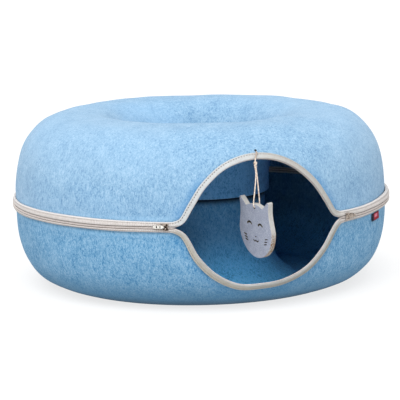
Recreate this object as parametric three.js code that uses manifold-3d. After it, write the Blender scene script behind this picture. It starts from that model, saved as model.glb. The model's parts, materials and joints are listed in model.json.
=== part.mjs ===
// Felt play tunnel: a ring-shaped tunnel of two moulded felt half shells. A zip round the outside joins
// them and stands open at the front as a mouth, where a flat felt toy hangs on a loop of twine.
// Millimetres, +Z up. The mouth faces -Y and the ring stands on the plane z = 0.

import * as THREE from 'three';
import { mergeVertices } from 'three/addons/utils/BufferGeometryUtils.js';
import Module from 'manifold-3d';

const wasm = await Module();
wasm.setup();

const DEGREE = Math.PI / 180;
const SEAT = 0.3; // clear gap between touching pieces

// Felt ring, on the outer face of the felt
const RING_R = 300;
const ZIP_HEIGHT = 136;
const FELT = 4;
const FELT_INSET = 3.5; // from the zip line, or the mouth's clear edge, to the cut edge of the felt
const SEGMENTS = 60;
const OUTER_STEPS = 9;
const HOLE_STEPS = 5;

// A half's wall is a superellipse from its rim over a crest to the wall of the centre hole.
// pastZip is how far that inner wall runs past the zip line, and flat is half the width of the foot.
const UPPER = { side: 1, height: 140.4, crestR: 189.8, holeR: 108, power: 2.685, pastZip: -7, flat: 0 };
const LOWER = { side: -1, height: 136, crestR: 189.7, holeR: 101, power: 2.8, pastZip: 22, flat: 25 };

// Clear edge of the open mouth: distance along the zip line from its middle, and from the zip line.
// wider is how much further out the edge lies on the right.
const MOUTH_STEPS = 40;
const UPPER_MOUTH = [
  { along: 0, rise: 95.7 },
  { along: 31, rise: 93.2 },
  { along: 61, rise: 81.3 },
  { along: 88, rise: 57.5 },
  { along: 107, rise: 30.6 },
  { along: 121, rise: 8 },
  { along: 134, rise: 0.8 },
  { along: 148, rise: 0 },
];
const LOWER_MOUTH = [
  { along: 0, rise: 92.7 },
  { along: 37, rise: 89.8 },
  { along: 71, rise: 71.5, wider: 1 },
  { along: 97, rise: 45.5, wider: 3 },
  { along: 114, rise: 18.5, wider: 6 },
  { along: 123, rise: 7, wider: 5 },
  { along: 135, rise: 0.8, wider: 2 },
  { along: 148, rise: 0 },
];
UPPER.mouth = UPPER_MOUTH;
LOWER.mouth = LOWER_MOUTH;

// Zip sections: out is the distance from the clear edge over the felt, lift the height off the felt
const TAPE_SECTION = [
  { out: 0.2, lift: 0.9 },
  { out: 0.2, lift: 3.1 },
  { out: 1.8, lift: 3.1 },
  { out: 1.9, lift: 5.1 },
  { out: 4.4, lift: 5.3 },
  { out: 7.2, lift: 3.3 },
  { out: 9.4, lift: 1.4 },
  { out: 9.4, lift: 0.6 },
];
const COIL_SECTION = [
  { out: 0.2, lift: 3.4 },
  { out: 0.3, lift: 5.9 },
  { out: 1.3, lift: 5.9 },
  { out: 1.5, lift: 3.4 },
];
const BAND_CREST = 5.9; // lift of the coil, the highest point of the zip

// The zip line hangs a little low on the right, most of all at the corner of the mouth
const SAG = { depth: 4, azimuth: 27 * DEGREE, reach: 15 * DEGREE };

// Sliders on the zip line, one at each end of the mouth
const SLIDER_AZIMUTH = 29.4 * DEGREE;
const SLIDER = { back: 7, waist: -1, flare: 3, front: 7, backHalf: 2.4, waistHalf: 3.2, frontHalf: 4.8, plate: 1.3 };
const ARCH = { from: -3.5, to: 2.5, leg: 1, width: 2.2, clear: 1.5, bar: 0.9, sunk: 0.2 };
const PULL = { from: 0.1, to: -15, bar: 1, slot: 3.3, slotWidth: 2.8, width: 5, corner: 1.2, thick: 0.9 };

// Woven label, sewn on under the lower tape
const LABEL = { azimuth: 48 * DEGREE, width: 32, top: 9.8, height: 11.5, stand: 0.5, thick: 0.8, steps: 5 };

// Felt toy: a cat's face, measured from its chin up and from its middle line outwards
const TOY = { halfWidth: 44, height: 89, thick: 8.5, x: -7.1, y: -292, chinZ: 85, cheekSteps: 18 };
const TOY_TURN = -77.3 * DEGREE;
const TOY_LEAN = -1.2 * DEGREE;
const EAR = { tip: 39.5, tipRadius: 2.5, tipArc: 130 * DEGREE, tipSteps: 3, root: 22, rootHeight: 78 };
const CROWN = { rise: 4, steps: 6 };
const TWINE_EYE = { across: -5.5, height: 76, radius: 2.5, steps: 10 };
const CUT = { width: 2, noseHalf: 1.6, noseHeight: 30, lipHeight: 23.3, lipHalf: 7, lipDrop: 2.6, steps: 4 };
const CLOSED_EYE = { middle: -2.5, across: 15, height: 50, half: 6, rise: 4.5 };
const WHISKER = { across: 29, height: 26.6, spacing: 4.4, half: 3.8, fan: 14 * DEGREE };

// Twine: from a knot inside the upper shell, out over its tape, and down to a loop round the toy
const TWINE_D = 1.8;
const TWINE_STEPS = 72;
const TWINE_SIDES = 8;
const TWINE_HOLE = { azimuth: -0.6 * DEGREE, rise: 109.5, radius: 1.7, depth: 24 };
const TWINE_CLEAR = 0.7; // between a hanging strand and the toy's face
const OUTER_KNOT = { x: -8.4, y: -290.3, z: 220 };
const BACK_END = { x: -6, y: -290, z: 215.5 };
const KNOT_R = 3.2;

const feltMaterial = new THREE.MeshStandardMaterial({ color: 0x74abdb, roughness: 0.95, metalness: 0 });
const tapeMaterial = new THREE.MeshStandardMaterial({ color: 0xdedad2, roughness: 0.8, metalness: 0 });
const coilMaterial = new THREE.MeshStandardMaterial({ color: 0xe8e4de, roughness: 0.45, metalness: 0 });
const nickelMaterial = new THREE.MeshStandardMaterial({ color: 0xb9b6b2, roughness: 0.28, metalness: 1 });
const labelMaterial = new THREE.MeshStandardMaterial({ color: 0xb3243c, roughness: 0.7, metalness: 0 });
const toyMaterial = new THREE.MeshStandardMaterial({ color: 0xb4bcd6, roughness: 0.95, metalness: 0 });
const twineMaterial = new THREE.MeshStandardMaterial({ color: 0xd9c6ac, roughness: 0.85, metalness: 0 });

/** A named mesh of a closed geometry whose seam vertices are merged. */
function piece(name, geometry, material) {
  geometry.deleteAttribute('normal');
  geometry.deleteAttribute('uv');
  const merged = mergeVertices(geometry, 1e-4);
  merged.computeVertexNormals();
  const mesh = new THREE.Mesh(merged, material);
  mesh.name = name;
  return mesh;
}

/** A closed geometry as a solid that can be joined and cut. */
function solidOf(geometry) {
  geometry.deleteAttribute('normal');
  geometry.deleteAttribute('uv');
  const merged = mergeVertices(geometry, 1e-4);
  const vertProperties = new Float32Array(merged.attributes.position.array);
  const triVerts = new Uint32Array(merged.index.array);
  return new wasm.Manifold(new wasm.Mesh({ numProp: 3, vertProperties, triVerts }));
}

/** The geometry of a solid. */
function geometryOf(solid) {
  const mesh = solid.getMesh();
  const geometry = new THREE.BufferGeometry();
  geometry.setAttribute('position', new THREE.BufferAttribute(mesh.vertProperties, 3));
  geometry.setIndex(new THREE.BufferAttribute(mesh.triVerts, 1));
  return geometry;
}

/** Point and outward normal of a half's wall in its (radius, rise) plane; rimR picks its outer or hole side. */
function wallAt(half, rimR, rise) {
  const reach = rimR - half.crestR;
  const up = Math.abs(rise) / half.height;
  const across = Math.max(0, 1 - up ** half.power) ** (1 / half.power);
  const normal = new THREE.Vector2(
    across ** (half.power - 1) / reach,
    (Math.sign(rise) * up ** (half.power - 1)) / half.height,
  ).normalize();
  return { point: new THREE.Vector2(half.crestR + reach * across, rise), normal };
}

/** Wall points from a first rise to the crest, at even angles of the superellipse. */
function wallPoints(half, rimR, firstRise, steps) {
  const firstAngle = Math.asin((firstRise / half.height) ** (half.power / 2));
  const points = [];
  for (let i = 0; i <= steps; i += 1) {
    const angle = THREE.MathUtils.lerp(firstAngle, Math.PI / 2, i / steps);
    points.push(wallAt(half, rimR, half.height * Math.min(1, Math.sin(angle)) ** (2 / half.power)));
  }
  points.at(-1).point.x = half.crestR + Math.sign(rimR - half.crestR) * half.flat;
  return points;
}

/** The felt of one half, before its mouth is cut, as a closed section turned about the ring's axis. */
function halfShell(half) {
  const outerWall = wallPoints(half, RING_R, FELT_INSET, OUTER_STEPS);
  const holeWall = wallPoints(half, half.holeR, Math.max(0, -half.pastZip), HOLE_STEPS).reverse();
  if (half.flat === 0) holeWall.shift();
  if (half.pastZip > 0) {
    const end = new THREE.Vector2(half.holeR, -half.pastZip);
    holeWall.push({ point: end, normal: new THREE.Vector2(-1, 0) });
  }
  const walls = [...outerWall, ...holeWall];
  const outside = walls.map(({ point }) => point);
  const inside = walls.map(({ point, normal }) => point.clone().addScaledVector(normal, -FELT)).reverse();
  const section = [...outside, ...inside, outside[0].clone()];
  const profile = section.map(({ x, y }) => new THREE.Vector2(x, ZIP_HEIGHT + half.side * y));
  if (half.side < 0) profile.reverse();
  return new THREE.LatheGeometry(profile, SEGMENTS).rotateX(Math.PI / 2);
}

/** Point and outward normal of the felt's outer face, at an azimuth from -Y towards +X. */
function onFelt(half, { azimuth, rise }) {
  const { point, normal } = wallAt(half, RING_R, rise);
  const radial = new THREE.Vector3(Math.sin(azimuth), -Math.cos(azimuth), 0);
  const place = radial.clone().multiplyScalar(point.x).setZ(ZIP_HEIGHT + half.side * point.y);
  const facing = radial.clone().multiplyScalar(normal.x).setZ(half.side * normal.y);
  return { place, facing };
}

/** How far the zip line hangs below its plane at an azimuth. */
function sagAt(azimuth) {
  const fromLowest = Math.atan2(Math.sin(azimuth - SAG.azimuth), Math.cos(azimuth - SAG.azimuth));
  return SAG.depth * Math.exp(-((fromLowest / SAG.reach) ** 2));
}

/** The half's clear edge as a closed loop: round its side of the mouth, then along the closed zip. */
function clearEdge(half) {
  const right = half.mouth.map(({ along, rise, wider = 0 }) => new THREE.Vector2(along + wider, rise));
  const left = half.mouth.slice(1).reverse().map(({ along, rise }) => new THREE.Vector2(-along, rise));
  const mouth = new THREE.SplineCurve([...left, ...right]).getSpacedPoints(MOUTH_STEPS);
  const loop = mouth.map(({ x, y }) => ({ azimuth: x / RING_R, rise: Math.max(0, y) }));
  const turn = (2 * Math.PI) / SEGMENTS;
  const first = Math.ceil((loop.at(-1).azimuth + turn / 4) / turn);
  for (let i = first; i <= SEGMENTS - first; i += 1) loop.push({ azimuth: i * turn, rise: 0 });
  return loop.map(({ azimuth, rise }) => ({ azimuth, rise: rise - half.side * sagAt(azimuth) }));
}

/** A place beside the clear edge, a distance out over the felt and a height off its outer face. */
function besideEdge(half, loop, index, out, lift) {
  const { place, facing } = onFelt(half, loop[index]);
  const before = onFelt(half, loop[(index + loop.length - 1) % loop.length]).place;
  const after = onFelt(half, loop[(index + 1) % loop.length]).place;
  const away = facing.clone().cross(after.sub(before)).normalize().multiplyScalar(half.side);
  const moved = place.clone().addScaledVector(away, out);
  const azimuth = Math.atan2(moved.x, -moved.y);
  const seat = onFelt(half, { azimuth, rise: half.side * (moved.z - ZIP_HEIGHT) });
  return seat.place.addScaledVector(seat.facing, lift);
}

/** A closed ring geometry from rings of points, each ring one section and all of the same size. */
function sweepGeometry(sections, turnedOut) {
  const size = sections[0].length;
  const positions = sections.flat().flatMap((point) => point.toArray());
  const faces = [];
  for (let i = 0; i < sections.length; i += 1) {
    const next = (i + 1) % sections.length;
    for (let j = 0; j < size; j += 1) {
      const a = i * size + j;
      const b = i * size + ((j + 1) % size);
      const c = next * size + ((j + 1) % size);
      const d = next * size + j;
      faces.push(...(turnedOut ? [a, b, c, a, c, d] : [a, c, b, a, d, c]));
    }
  }
  const geometry = new THREE.BufferGeometry();
  geometry.setAttribute('position', new THREE.Float32BufferAttribute(positions, 3));
  geometry.setIndex(faces);
  return geometry;
}

/** A tape or coil that follows the clear edge of a half all the way round. */
function zipStrip(half, section) {
  const loop = clearEdge(half);
  const sections = loop.map((_, index) =>
    section.map(({ out, lift }) => besideEdge(half, loop, index, out, lift)),
  );
  return sweepGeometry(sections, half.side < 0);
}

/** The space that the mouth takes out of a half, reaching from inside the tunnel to past the felt. */
function mouthSpace(half) {
  const nearY = 150;
  const farY = 330;
  const pastZip = 10;
  const smallestRise = 3; // below this the cut felt edge and the rim lie on one line
  const loop = clearEdge(half);
  const outline = [];
  loop.forEach(({ rise }, index) => {
    if (rise < smallestRise || index > MOUTH_STEPS) return;
    const { x, z } = besideEdge(half, loop, index, FELT_INSET, 0);
    outline.push(new THREE.Vector2(x, z));
  });
  const past = ZIP_HEIGHT - half.side * pastZip;
  const shape = new THREE.Shape([
    new THREE.Vector2(outline[0].x, past),
    ...outline,
    new THREE.Vector2(outline.at(-1).x, past),
  ]);
  const block = new THREE.ExtrudeGeometry(shape, { depth: farY - nearY, bevelEnabled: false, steps: 1 });
  return block.translate(0, 0, nearY).rotateX(Math.PI / 2);
}

/** The hole that the twine comes out of, square to the felt. */
function twineHoleSpace() {
  const { place, facing } = onFelt(UPPER, TWINE_HOLE);
  const { radius, depth } = TWINE_HOLE;
  const drill = new THREE.CylinderGeometry(radius, radius, depth, TWINE_SIDES);
  const turn = new THREE.Quaternion().setFromUnitVectors(new THREE.Vector3(0, 1, 0), facing);
  return drill.applyQuaternion(turn).translate(place.x, place.y, place.z);
}

function upperShell() {
  const cut = solidOf(halfShell(UPPER)).subtract(solidOf(mouthSpace(UPPER)));
  return piece('upper_shell', geometryOf(cut.subtract(solidOf(twineHoleSpace()))), feltMaterial);
}

function lowerShell() {
  const cut = solidOf(halfShell(LOWER)).subtract(solidOf(mouthSpace(LOWER)));
  return piece('lower_shell', geometryOf(cut), feltMaterial);
}

/** A group whose X runs right, Y up and Z outwards, as seen by someone facing the ring at an azimuth. */
function facingOut(azimuth, place) {
  const group = new THREE.Group();
  group.rotation.set(Math.PI / 2, 0, azimuth, 'ZXY');
  group.position.copy(place);
  return group;
}

/** A box between two x values, centred on y = 0, standing on a z. */
function slab(fromX, toX, width, fromZ, height) {
  const box = new THREE.BoxGeometry(Math.abs(toX - fromX), width, height);
  return box.translate((fromX + toX) / 2, 0, fromZ + height / 2);
}

/** A slider's body: a plate over the closed coils, with an arch that holds its pull. */
function sliderBody(towardMouth, base) {
  const { back, waist, flare, front, backHalf, waistHalf, frontHalf, plate } = SLIDER;
  const upperEdge = [
    [-back, backHalf],
    [waist, waistHalf],
    [flare, frontHalf],
    [front, frontHalf],
  ];
  const lowerEdge = upperEdge.map(([x, y]) => [x, -y]).reverse();
  const outline = [...upperEdge, ...lowerEdge].map(([x, y]) => new THREE.Vector2(towardMouth * x, y));
  const settings = { depth: plate, bevelEnabled: false, steps: 1 };
  const cover = new THREE.ExtrudeGeometry(new THREE.Shape(outline), settings).translate(0, 0, base);
  const { from, to, leg, width, clear, bar, sunk } = ARCH;
  const foot = base + plate - sunk;
  const legHeight = sunk + clear + bar;
  return solidOf(cover)
    .add(solidOf(slab(towardMouth * from, towardMouth * (from + leg), width, foot, legHeight)))
    .add(solidOf(slab(towardMouth * (to - leg), towardMouth * to, width, foot, legHeight)))
    .add(solidOf(slab(towardMouth * from, towardMouth * to, width, base + plate + clear, bar)));
}

/** A slider's pull, a flat tab that lies back along the closed zip with its slot round the arch. */
function pullTab(towardMouth, base) {
  const { from, to, bar, slot, slotWidth, width, corner, thick } = PULL;
  const half = width / 2;
  const slotHalf = slotWidth / 2;
  const outline = [
    [from, -half],
    [from, half],
    [to + corner, half],
    [to, half - corner],
    [to, corner - half],
    [to + corner, -half],
  ];
  const opening = [
    [from - bar, -slotHalf],
    [from - bar - slot, -slotHalf],
    [from - bar - slot, slotHalf],
    [from - bar, slotHalf],
  ];
  const point = ([x, y]) => new THREE.Vector2(towardMouth * x, y);
  const shape = new THREE.Shape(outline.map(point));
  shape.holes.push(new THREE.Path(opening.map(point)));
  return new THREE.ExtrudeGeometry(shape, { depth: thick, bevelEnabled: false, steps: 1 }).translate(0, 0, base);
}

/** Slider body and pull on the zip line; towardMouth is 1 where the mouth lies on its right. */
function slider(side, towardMouth) {
  const base = BAND_CREST + SEAT;
  const azimuth = -towardMouth * SLIDER_AZIMUTH;
  const group = facingOut(azimuth, onFelt(UPPER, { azimuth, rise: -sagAt(azimuth) }).place);
  const pull = pullTab(towardMouth, base + SLIDER.plate + SEAT);
  group.add(piece(`slider_${side}`, geometryOf(sliderBody(towardMouth, base)), nickelMaterial));
  group.add(piece(`pull_${side}`, pull, nickelMaterial));
  return group;
}

/** The label, a thin strip bent round the lower felt under its tape. */
function label() {
  const { top, height, stand, thick, steps } = LABEL;
  const corners = [
    [top, stand],
    [top + height, stand],
    [top + height, stand + thick],
    [top, stand + thick],
  ];
  const sections = [];
  for (let i = 0; i <= steps; i += 1) {
    const azimuth = LABEL.azimuth + ((i / steps - 0.5) * LABEL.width) / RING_R;
    sections.push(
      corners.map(([rise, lift]) => {
        const { place, facing } = onFelt(LOWER, { azimuth, rise: rise + sagAt(azimuth) });
        return place.addScaledVector(facing, lift);
      }),
    );
  }
  const size = corners.length;
  const last = steps * size;
  const faces = [0, 1, 2, 0, 2, 3, last, last + 2, last + 1, last, last + 3, last + 2];
  for (let i = 0; i < steps; i += 1) {
    for (let j = 0; j < size; j += 1) {
      const a = i * size + j;
      const b = i * size + ((j + 1) % size);
      faces.push(a, b + size, b, a, a + size, b + size);
    }
  }
  const geometry = new THREE.BufferGeometry();
  geometry.setAttribute('position', new THREE.Float32BufferAttribute(sections.flat().flatMap((p) => p.toArray()), 3));
  geometry.setIndex(faces);
  return piece('label', geometry, labelMaterial);
}

/** The outline of a cut of even width along a line of points. */
function cutAlong(points) {
  const half = CUT.width / 2;
  const sides = [1, -1].map((side) =>
    points.map((point, i) => {
      const before = points[Math.max(0, i - 1)];
      const after = points[Math.min(points.length - 1, i + 1)];
      const along = after.clone().sub(before).normalize();
      return new THREE.Vector2(point.x - side * along.y * half, point.y + side * along.x * half);
    }),
  );
  return [...sides[0], ...sides[1].reverse()];
}

/** Points of a shallow arc, rising in its middle by rise. */
function archPoints(centreX, baseY, halfWidth, rise, steps) {
  const points = [];
  for (let i = 0; i <= steps; i += 1) {
    const t = (2 * i) / steps - 1;
    points.push(new THREE.Vector2(centreX + t * halfWidth, baseY + rise * (1 - t * t)));
  }
  return points;
}

/** Outlines of the face's cuts: two closed eyes, a nose, a lip line and three whiskers on each cheek. */
function faceCuts() {
  const { noseHalf, noseHeight, lipHeight, lipHalf, lipDrop, steps } = CUT;
  const { middle, across, height, half, rise } = CLOSED_EYE;
  const cuts = [
    cutAlong([new THREE.Vector2(-noseHalf, noseHeight), new THREE.Vector2(noseHalf, noseHeight)]),
    cutAlong(archPoints(0, lipHeight, lipHalf, -lipDrop, steps)),
  ];
  for (const side of [-1, 1]) {
    cuts.push(cutAlong(archPoints(middle + side * across, height, half, rise, steps)));
    for (const row of [-1, 0, 1]) {
      const reach = new THREE.Vector2(WHISKER.half, 0).rotateAround(new THREE.Vector2(), side * row * WHISKER.fan);
      const place = new THREE.Vector2(side * WHISKER.across, WHISKER.height + row * WHISKER.spacing);
      cuts.push(cutAlong([place.clone().sub(reach), place.clone().add(reach)]));
    }
  }
  return cuts;
}

/** Points along an arc, with its last one left out where it would close a circle. */
function arcPoints(x, y, radius, from, to, steps) {
  const points = [];
  const last = Math.abs(to - from) >= 2 * Math.PI ? steps - 1 : steps;
  for (let i = 0; i <= last; i += 1) {
    const angle = THREE.MathUtils.lerp(from, to, i / steps);
    points.push(new THREE.Vector2(x + radius * Math.cos(angle), y + radius * Math.sin(angle)));
  }
  return points;
}

/** An outline extruded evenly to both sides of z = 0. */
function plateGeometry(outline, thickness) {
  const settings = { depth: thickness, bevelEnabled: false, steps: 1 };
  return new THREE.ExtrudeGeometry(new THREE.Shape(outline), settings).translate(0, 0, -thickness / 2);
}

/** The toy: a plate of thick felt in the outline of a cat's face, cut right through. */
function toy() {
  const cheek = TOY.halfWidth;
  const { tip, tipRadius, tipArc, tipSteps, root, rootHeight } = EAR;
  const tipHeight = TOY.height - tipRadius;
  const outline = [
    ...arcPoints(0, cheek, cheek, Math.PI, 2 * Math.PI, TOY.cheekSteps),
    ...arcPoints(tip, tipHeight, tipRadius, 0, tipArc, tipSteps),
    ...archPoints(0, rootHeight, root, CROWN.rise, CROWN.steps).reverse(),
    ...arcPoints(-tip, tipHeight, tipRadius, Math.PI - tipArc, Math.PI, tipSteps),
  ];
  const { across, height, radius, steps } = TWINE_EYE;
  const eye = arcPoints(across, height, radius, 0, 2 * Math.PI, steps);
  let plate = solidOf(plateGeometry(outline, TOY.thick));
  for (const cut of [eye, ...faceCuts()]) plate = plate.subtract(solidOf(plateGeometry(cut, 2 * TOY.thick)));
  const mesh = piece('toy', geometryOf(plate), toyMaterial);
  mesh.rotation.z = TOY_LEAN;
  const group = facingOut(TOY_TURN, new THREE.Vector3(TOY.x, TOY.y, TOY.chinZ));
  group.add(mesh);
  return group;
}

/** The twine's middle line, out of the felt, over the tape, through the toy and back up to its knot. */
function twineRoute() {
  const hole = onFelt(UPPER, TWINE_HOLE);
  const slope = new THREE.Vector3(0, 0, -1).addScaledVector(hole.facing, hole.facing.z).normalize();
  const overTape = [
    { aside: 0, down: 0, lift: -FELT + 0.2 },
    { aside: 0, down: 0, lift: 0.6 },
    { aside: -0.4, down: 1.8, lift: 3.2 },
    { aside: -1.8, down: 6.8, lift: 5.8 },
    { aside: -3.4, down: 11.8, lift: 7.4 },
    { aside: -4.6, down: 15.6, lift: 7.6 },
  ].map(({ aside, down, lift }) =>
    hole.place
      .clone()
      .addScaledVector(slope, down)
      .addScaledVector(hole.facing, lift)
      .add(new THREE.Vector3(aside, 0, 0)),
  );

  const along = new THREE.Vector3(Math.cos(TOY_TURN), Math.sin(TOY_TURN), 0);
  const through = new THREE.Vector3(Math.sin(TOY_TURN), -Math.cos(TOY_TURN), 0);
  const leant = new THREE.Vector2(TWINE_EYE.across, TWINE_EYE.height).rotateAround(new THREE.Vector2(), TOY_LEAN);
  const eye = new THREE.Vector3(TOY.x, TOY.y, TOY.chinZ + leant.y).addScaledVector(along, leant.x);
  const off = TOY.thick / 2 + TWINE_D / 2 + TWINE_CLEAR;
  const throughEye = [
    { beside: off, above: 7 },
    { beside: off, above: 4.2 },
    { beside: off - 0.5, above: 1.9 },
    { beside: off - 2, above: 0.4 },
    { beside: 0, above: 0 },
    { beside: 2 - off, above: 0.4 },
    { beside: 0.5 - off, above: 1.9 },
    { beside: -off, above: 4.2 },
    { beside: -off, above: 7 },
  ].map(({ beside, above }) => eye.clone().addScaledVector(through, beside).setZ(eye.z + above));

  const knot = new THREE.Vector3(OUTER_KNOT.x, OUTER_KNOT.y, OUTER_KNOT.z);
  const backEnd = new THREE.Vector3(BACK_END.x, BACK_END.y, BACK_END.z);
  const frontStrand = knot.clone().lerp(throughEye[0], 0.5);
  const backStrand = backEnd.clone().lerp(throughEye.at(-1), 0.5);
  return [...overTape, knot, frontStrand, ...throughEye, backStrand, backEnd];
}

function twine() {
  const route = new THREE.CatmullRomCurve3(twineRoute(), false, 'centripetal');
  const round = new THREE.Shape(arcPoints(0, 0, TWINE_D / 2, 0, 2 * Math.PI, TWINE_SIDES));
  const tube = new THREE.ExtrudeGeometry(round, {
    steps: TWINE_STEPS,
    bevelEnabled: false,
    extrudePath: route,
  });
  return piece('twine', tube, twineMaterial);
}

/** The knot that holds the twine inside the upper shell. */
function twineKnot() {
  const { place, facing } = onFelt(UPPER, TWINE_HOLE);
  const knot = new THREE.SphereGeometry(KNOT_R, 10, 6);
  const mesh = piece('twine_knot', knot, twineMaterial);
  mesh.position.copy(place).addScaledVector(facing, -(FELT + SEAT + KNOT_R));
  return mesh;
}

// The origin lies on the floor under the middle of the whole object, whose toy reaches out past the ring
const toyReach = -TOY.y - TOY.halfWidth * Math.sin(TOY_TURN) + (TOY.thick / 2) * Math.cos(TOY_TURN);
const ringCentreY = (toyReach - (RING_R + BAND_CREST)) / 2;

const tunnel = new THREE.Group();
tunnel.position.set(0, ringCentreY, 0);
tunnel.add(upperShell(), lowerShell());
tunnel.add(piece('upper_tape', zipStrip(UPPER, TAPE_SECTION), tapeMaterial));
tunnel.add(piece('lower_tape', zipStrip(LOWER, TAPE_SECTION), tapeMaterial));
tunnel.add(piece('upper_coil', zipStrip(UPPER, COIL_SECTION), coilMaterial));
tunnel.add(piece('lower_coil', zipStrip(LOWER, COIL_SECTION), coilMaterial));
tunnel.add(slider('left', 1), slider('right', -1));
tunnel.add(label(), toy(), twine(), twineKnot());

export default tunnel;
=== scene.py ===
import json
import logging
import math
from dataclasses import dataclass
from enum import Enum
from typing import Optional, Union

import bmesh
import bpy
import numpy as np
from mathutils import Matrix, Quaternion, Vector

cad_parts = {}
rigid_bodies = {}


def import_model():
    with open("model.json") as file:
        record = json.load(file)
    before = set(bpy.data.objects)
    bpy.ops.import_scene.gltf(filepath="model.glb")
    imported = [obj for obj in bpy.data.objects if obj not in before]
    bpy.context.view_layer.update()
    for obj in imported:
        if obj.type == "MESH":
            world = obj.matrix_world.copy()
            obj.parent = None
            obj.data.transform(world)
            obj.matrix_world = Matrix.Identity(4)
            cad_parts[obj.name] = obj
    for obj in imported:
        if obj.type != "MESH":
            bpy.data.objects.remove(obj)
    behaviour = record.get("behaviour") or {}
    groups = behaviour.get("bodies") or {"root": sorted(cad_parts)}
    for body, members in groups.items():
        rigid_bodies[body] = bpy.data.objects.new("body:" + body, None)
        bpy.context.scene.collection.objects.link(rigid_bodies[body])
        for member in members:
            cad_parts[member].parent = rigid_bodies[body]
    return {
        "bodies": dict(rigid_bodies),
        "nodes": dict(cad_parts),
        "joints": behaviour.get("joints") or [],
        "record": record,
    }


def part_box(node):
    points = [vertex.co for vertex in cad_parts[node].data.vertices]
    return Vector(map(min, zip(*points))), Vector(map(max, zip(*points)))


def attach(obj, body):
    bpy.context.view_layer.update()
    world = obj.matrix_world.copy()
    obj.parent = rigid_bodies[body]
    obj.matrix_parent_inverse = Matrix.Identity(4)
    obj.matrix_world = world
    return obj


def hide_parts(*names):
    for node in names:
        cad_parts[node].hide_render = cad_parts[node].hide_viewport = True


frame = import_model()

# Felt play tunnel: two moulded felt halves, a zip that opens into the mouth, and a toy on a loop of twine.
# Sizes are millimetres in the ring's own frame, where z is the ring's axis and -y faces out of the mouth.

LOG = logging.getLogger("felt_tunnel")
MM = 0.001
DEGREE = math.pi / 180

Array = np.ndarray
Colour = tuple[float, float, float]
Place = tuple[float, float, float]
Span = tuple[float, float]
Faces = list[tuple[int, ...]]
Material = bpy.types.Material
Piece = bpy.types.Object


def display(red: float, green: float, blue: float) -> Colour:
    """Turns a display colour of 0 to 255 into the linear colour that shaders use."""
    shares = [channel / 255 for channel in (red, green, blue)]
    return tuple(s / 12.92 if s <= 0.04045 else ((s + 0.055) / 1.055) ** 2.4 for s in shares)


class Value:
    """An output socket that Python arithmetic works on, each step adding its Math node."""

    def __init__(self, tree: "Tree", socket: bpy.types.NodeSocket) -> None:
        """Wraps a socket of a tree."""
        self.tree = tree
        self.socket = socket

    def _math(self, operation: str, first: "Source", second: "Source" = 0.0) -> "Value":
        """Adds a Math node on two numbers or values."""
        return self.tree.node("ShaderNodeMath", {"operation": operation}, {0: first, 1: second})

    def __add__(self, other: "Source") -> "Value":
        """Sum."""
        return self._math("ADD", self, other)

    __radd__ = __add__

    def __sub__(self, other: "Source") -> "Value":
        """Difference."""
        return self._math("SUBTRACT", self, other)

    def __rsub__(self, other: "Source") -> "Value":
        """Difference from a number."""
        return self._math("SUBTRACT", other, self)

    def __mul__(self, other: "Source") -> "Value":
        """Product."""
        return self._math("MULTIPLY", self, other)

    __rmul__ = __mul__

    def __truediv__(self, other: "Source") -> "Value":
        """Quotient."""
        return self._math("DIVIDE", self, other)

    def __abs__(self) -> "Value":
        """Size without its sign."""
        return self._math("ABSOLUTE", self)

    def fraction(self) -> "Value":
        """The part after the point, which repeats from 0 to 1."""
        return self._math("FRACT", self)

    def zigzag(self) -> "Value":
        """Falls evenly from 1 to 0 and climbs back, once for each whole number."""
        return abs(self.fraction() - 0.5) * 2.0

    def most(self, other: "Source") -> "Value":
        """The larger of two values."""
        return self._math("MAXIMUM", self, other)

    def rise(self, low: float, high: float) -> "Value":
        """A smooth step from 0 at low to 1 at high."""
        inputs = {"Value": self, "From Min": low, "From Max": high}
        return self.tree.node("ShaderNodeMapRange", {"interpolation_type": "SMOOTHSTEP"}, inputs)

    def near(self, middle: float, half: float, soft: float) -> "Value":
        """A band that is 1 within half of the middle and fades over soft."""
        return 1.0 - abs(self - middle).rise(half, half + soft)

    def axis(self, name: str) -> "Value":
        """One coordinate, X, Y or Z, of a place."""
        return self.tree.node("ShaderNodeSeparateXYZ", {}, {0: self}, out=name)

    def apart(self, spot: Place) -> "Value":
        """How far a place is from a spot."""
        distance = {"operation": "DISTANCE"}
        return self.tree.node("ShaderNodeVectorMath", distance, {0: self, 1: spot}, out="Value")


Source = Union[Value, float, int, str, tuple, bpy.types.ID]
Tone = Union[Value, Colour]


class Tree:
    """A node tree that is being built, of a material or of Geometry Nodes."""

    def __init__(self, tree: bpy.types.NodeTree) -> None:
        """Starts on an empty tree."""
        self.tree = tree

    def node(
        self,
        kind: str,
        settings: Optional[dict[str, object]] = None,
        inputs: Optional[dict[Union[str, int], Source]] = None,
        out: Union[str, int] = 0,
    ) -> Optional[Value]:
        """Adds one node.

        Args:
            kind: Blender's name of the node type.
            settings: properties of the node, set before its sockets are touched.
            inputs: numbers or values for its sockets, by name or place.
            out: the output socket to return.

        Returns:
            The output as a value, or None where the node has no output.
        """
        made = self.tree.nodes.new(kind)
        for name, setting in (settings or {}).items():
            if name == "stops":
                self.set_stops(made.color_ramp, setting)
            else:
                setattr(made, name, setting)
        for key, source in (inputs or {}).items():
            if isinstance(source, Value):
                self.tree.links.new(source.socket, made.inputs[key])
            else:
                made.inputs[key].default_value = source
        return Value(self, made.outputs[out]) if len(made.outputs) else None

    def set_stops(self, ramp: bpy.types.ColorRamp, stops: list[tuple[float, Colour]]) -> None:
        """Gives a colour ramp its stops.

        Args:
            ramp: the ramp.
            stops: the position and the colour of each stop.
        """
        while len(ramp.elements) < len(stops):
            ramp.elements.new(0.5)
        for element, (position, colour) in zip(ramp.elements, stops):
            element.position = position
            element.color = (*colour, 1.0)


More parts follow.
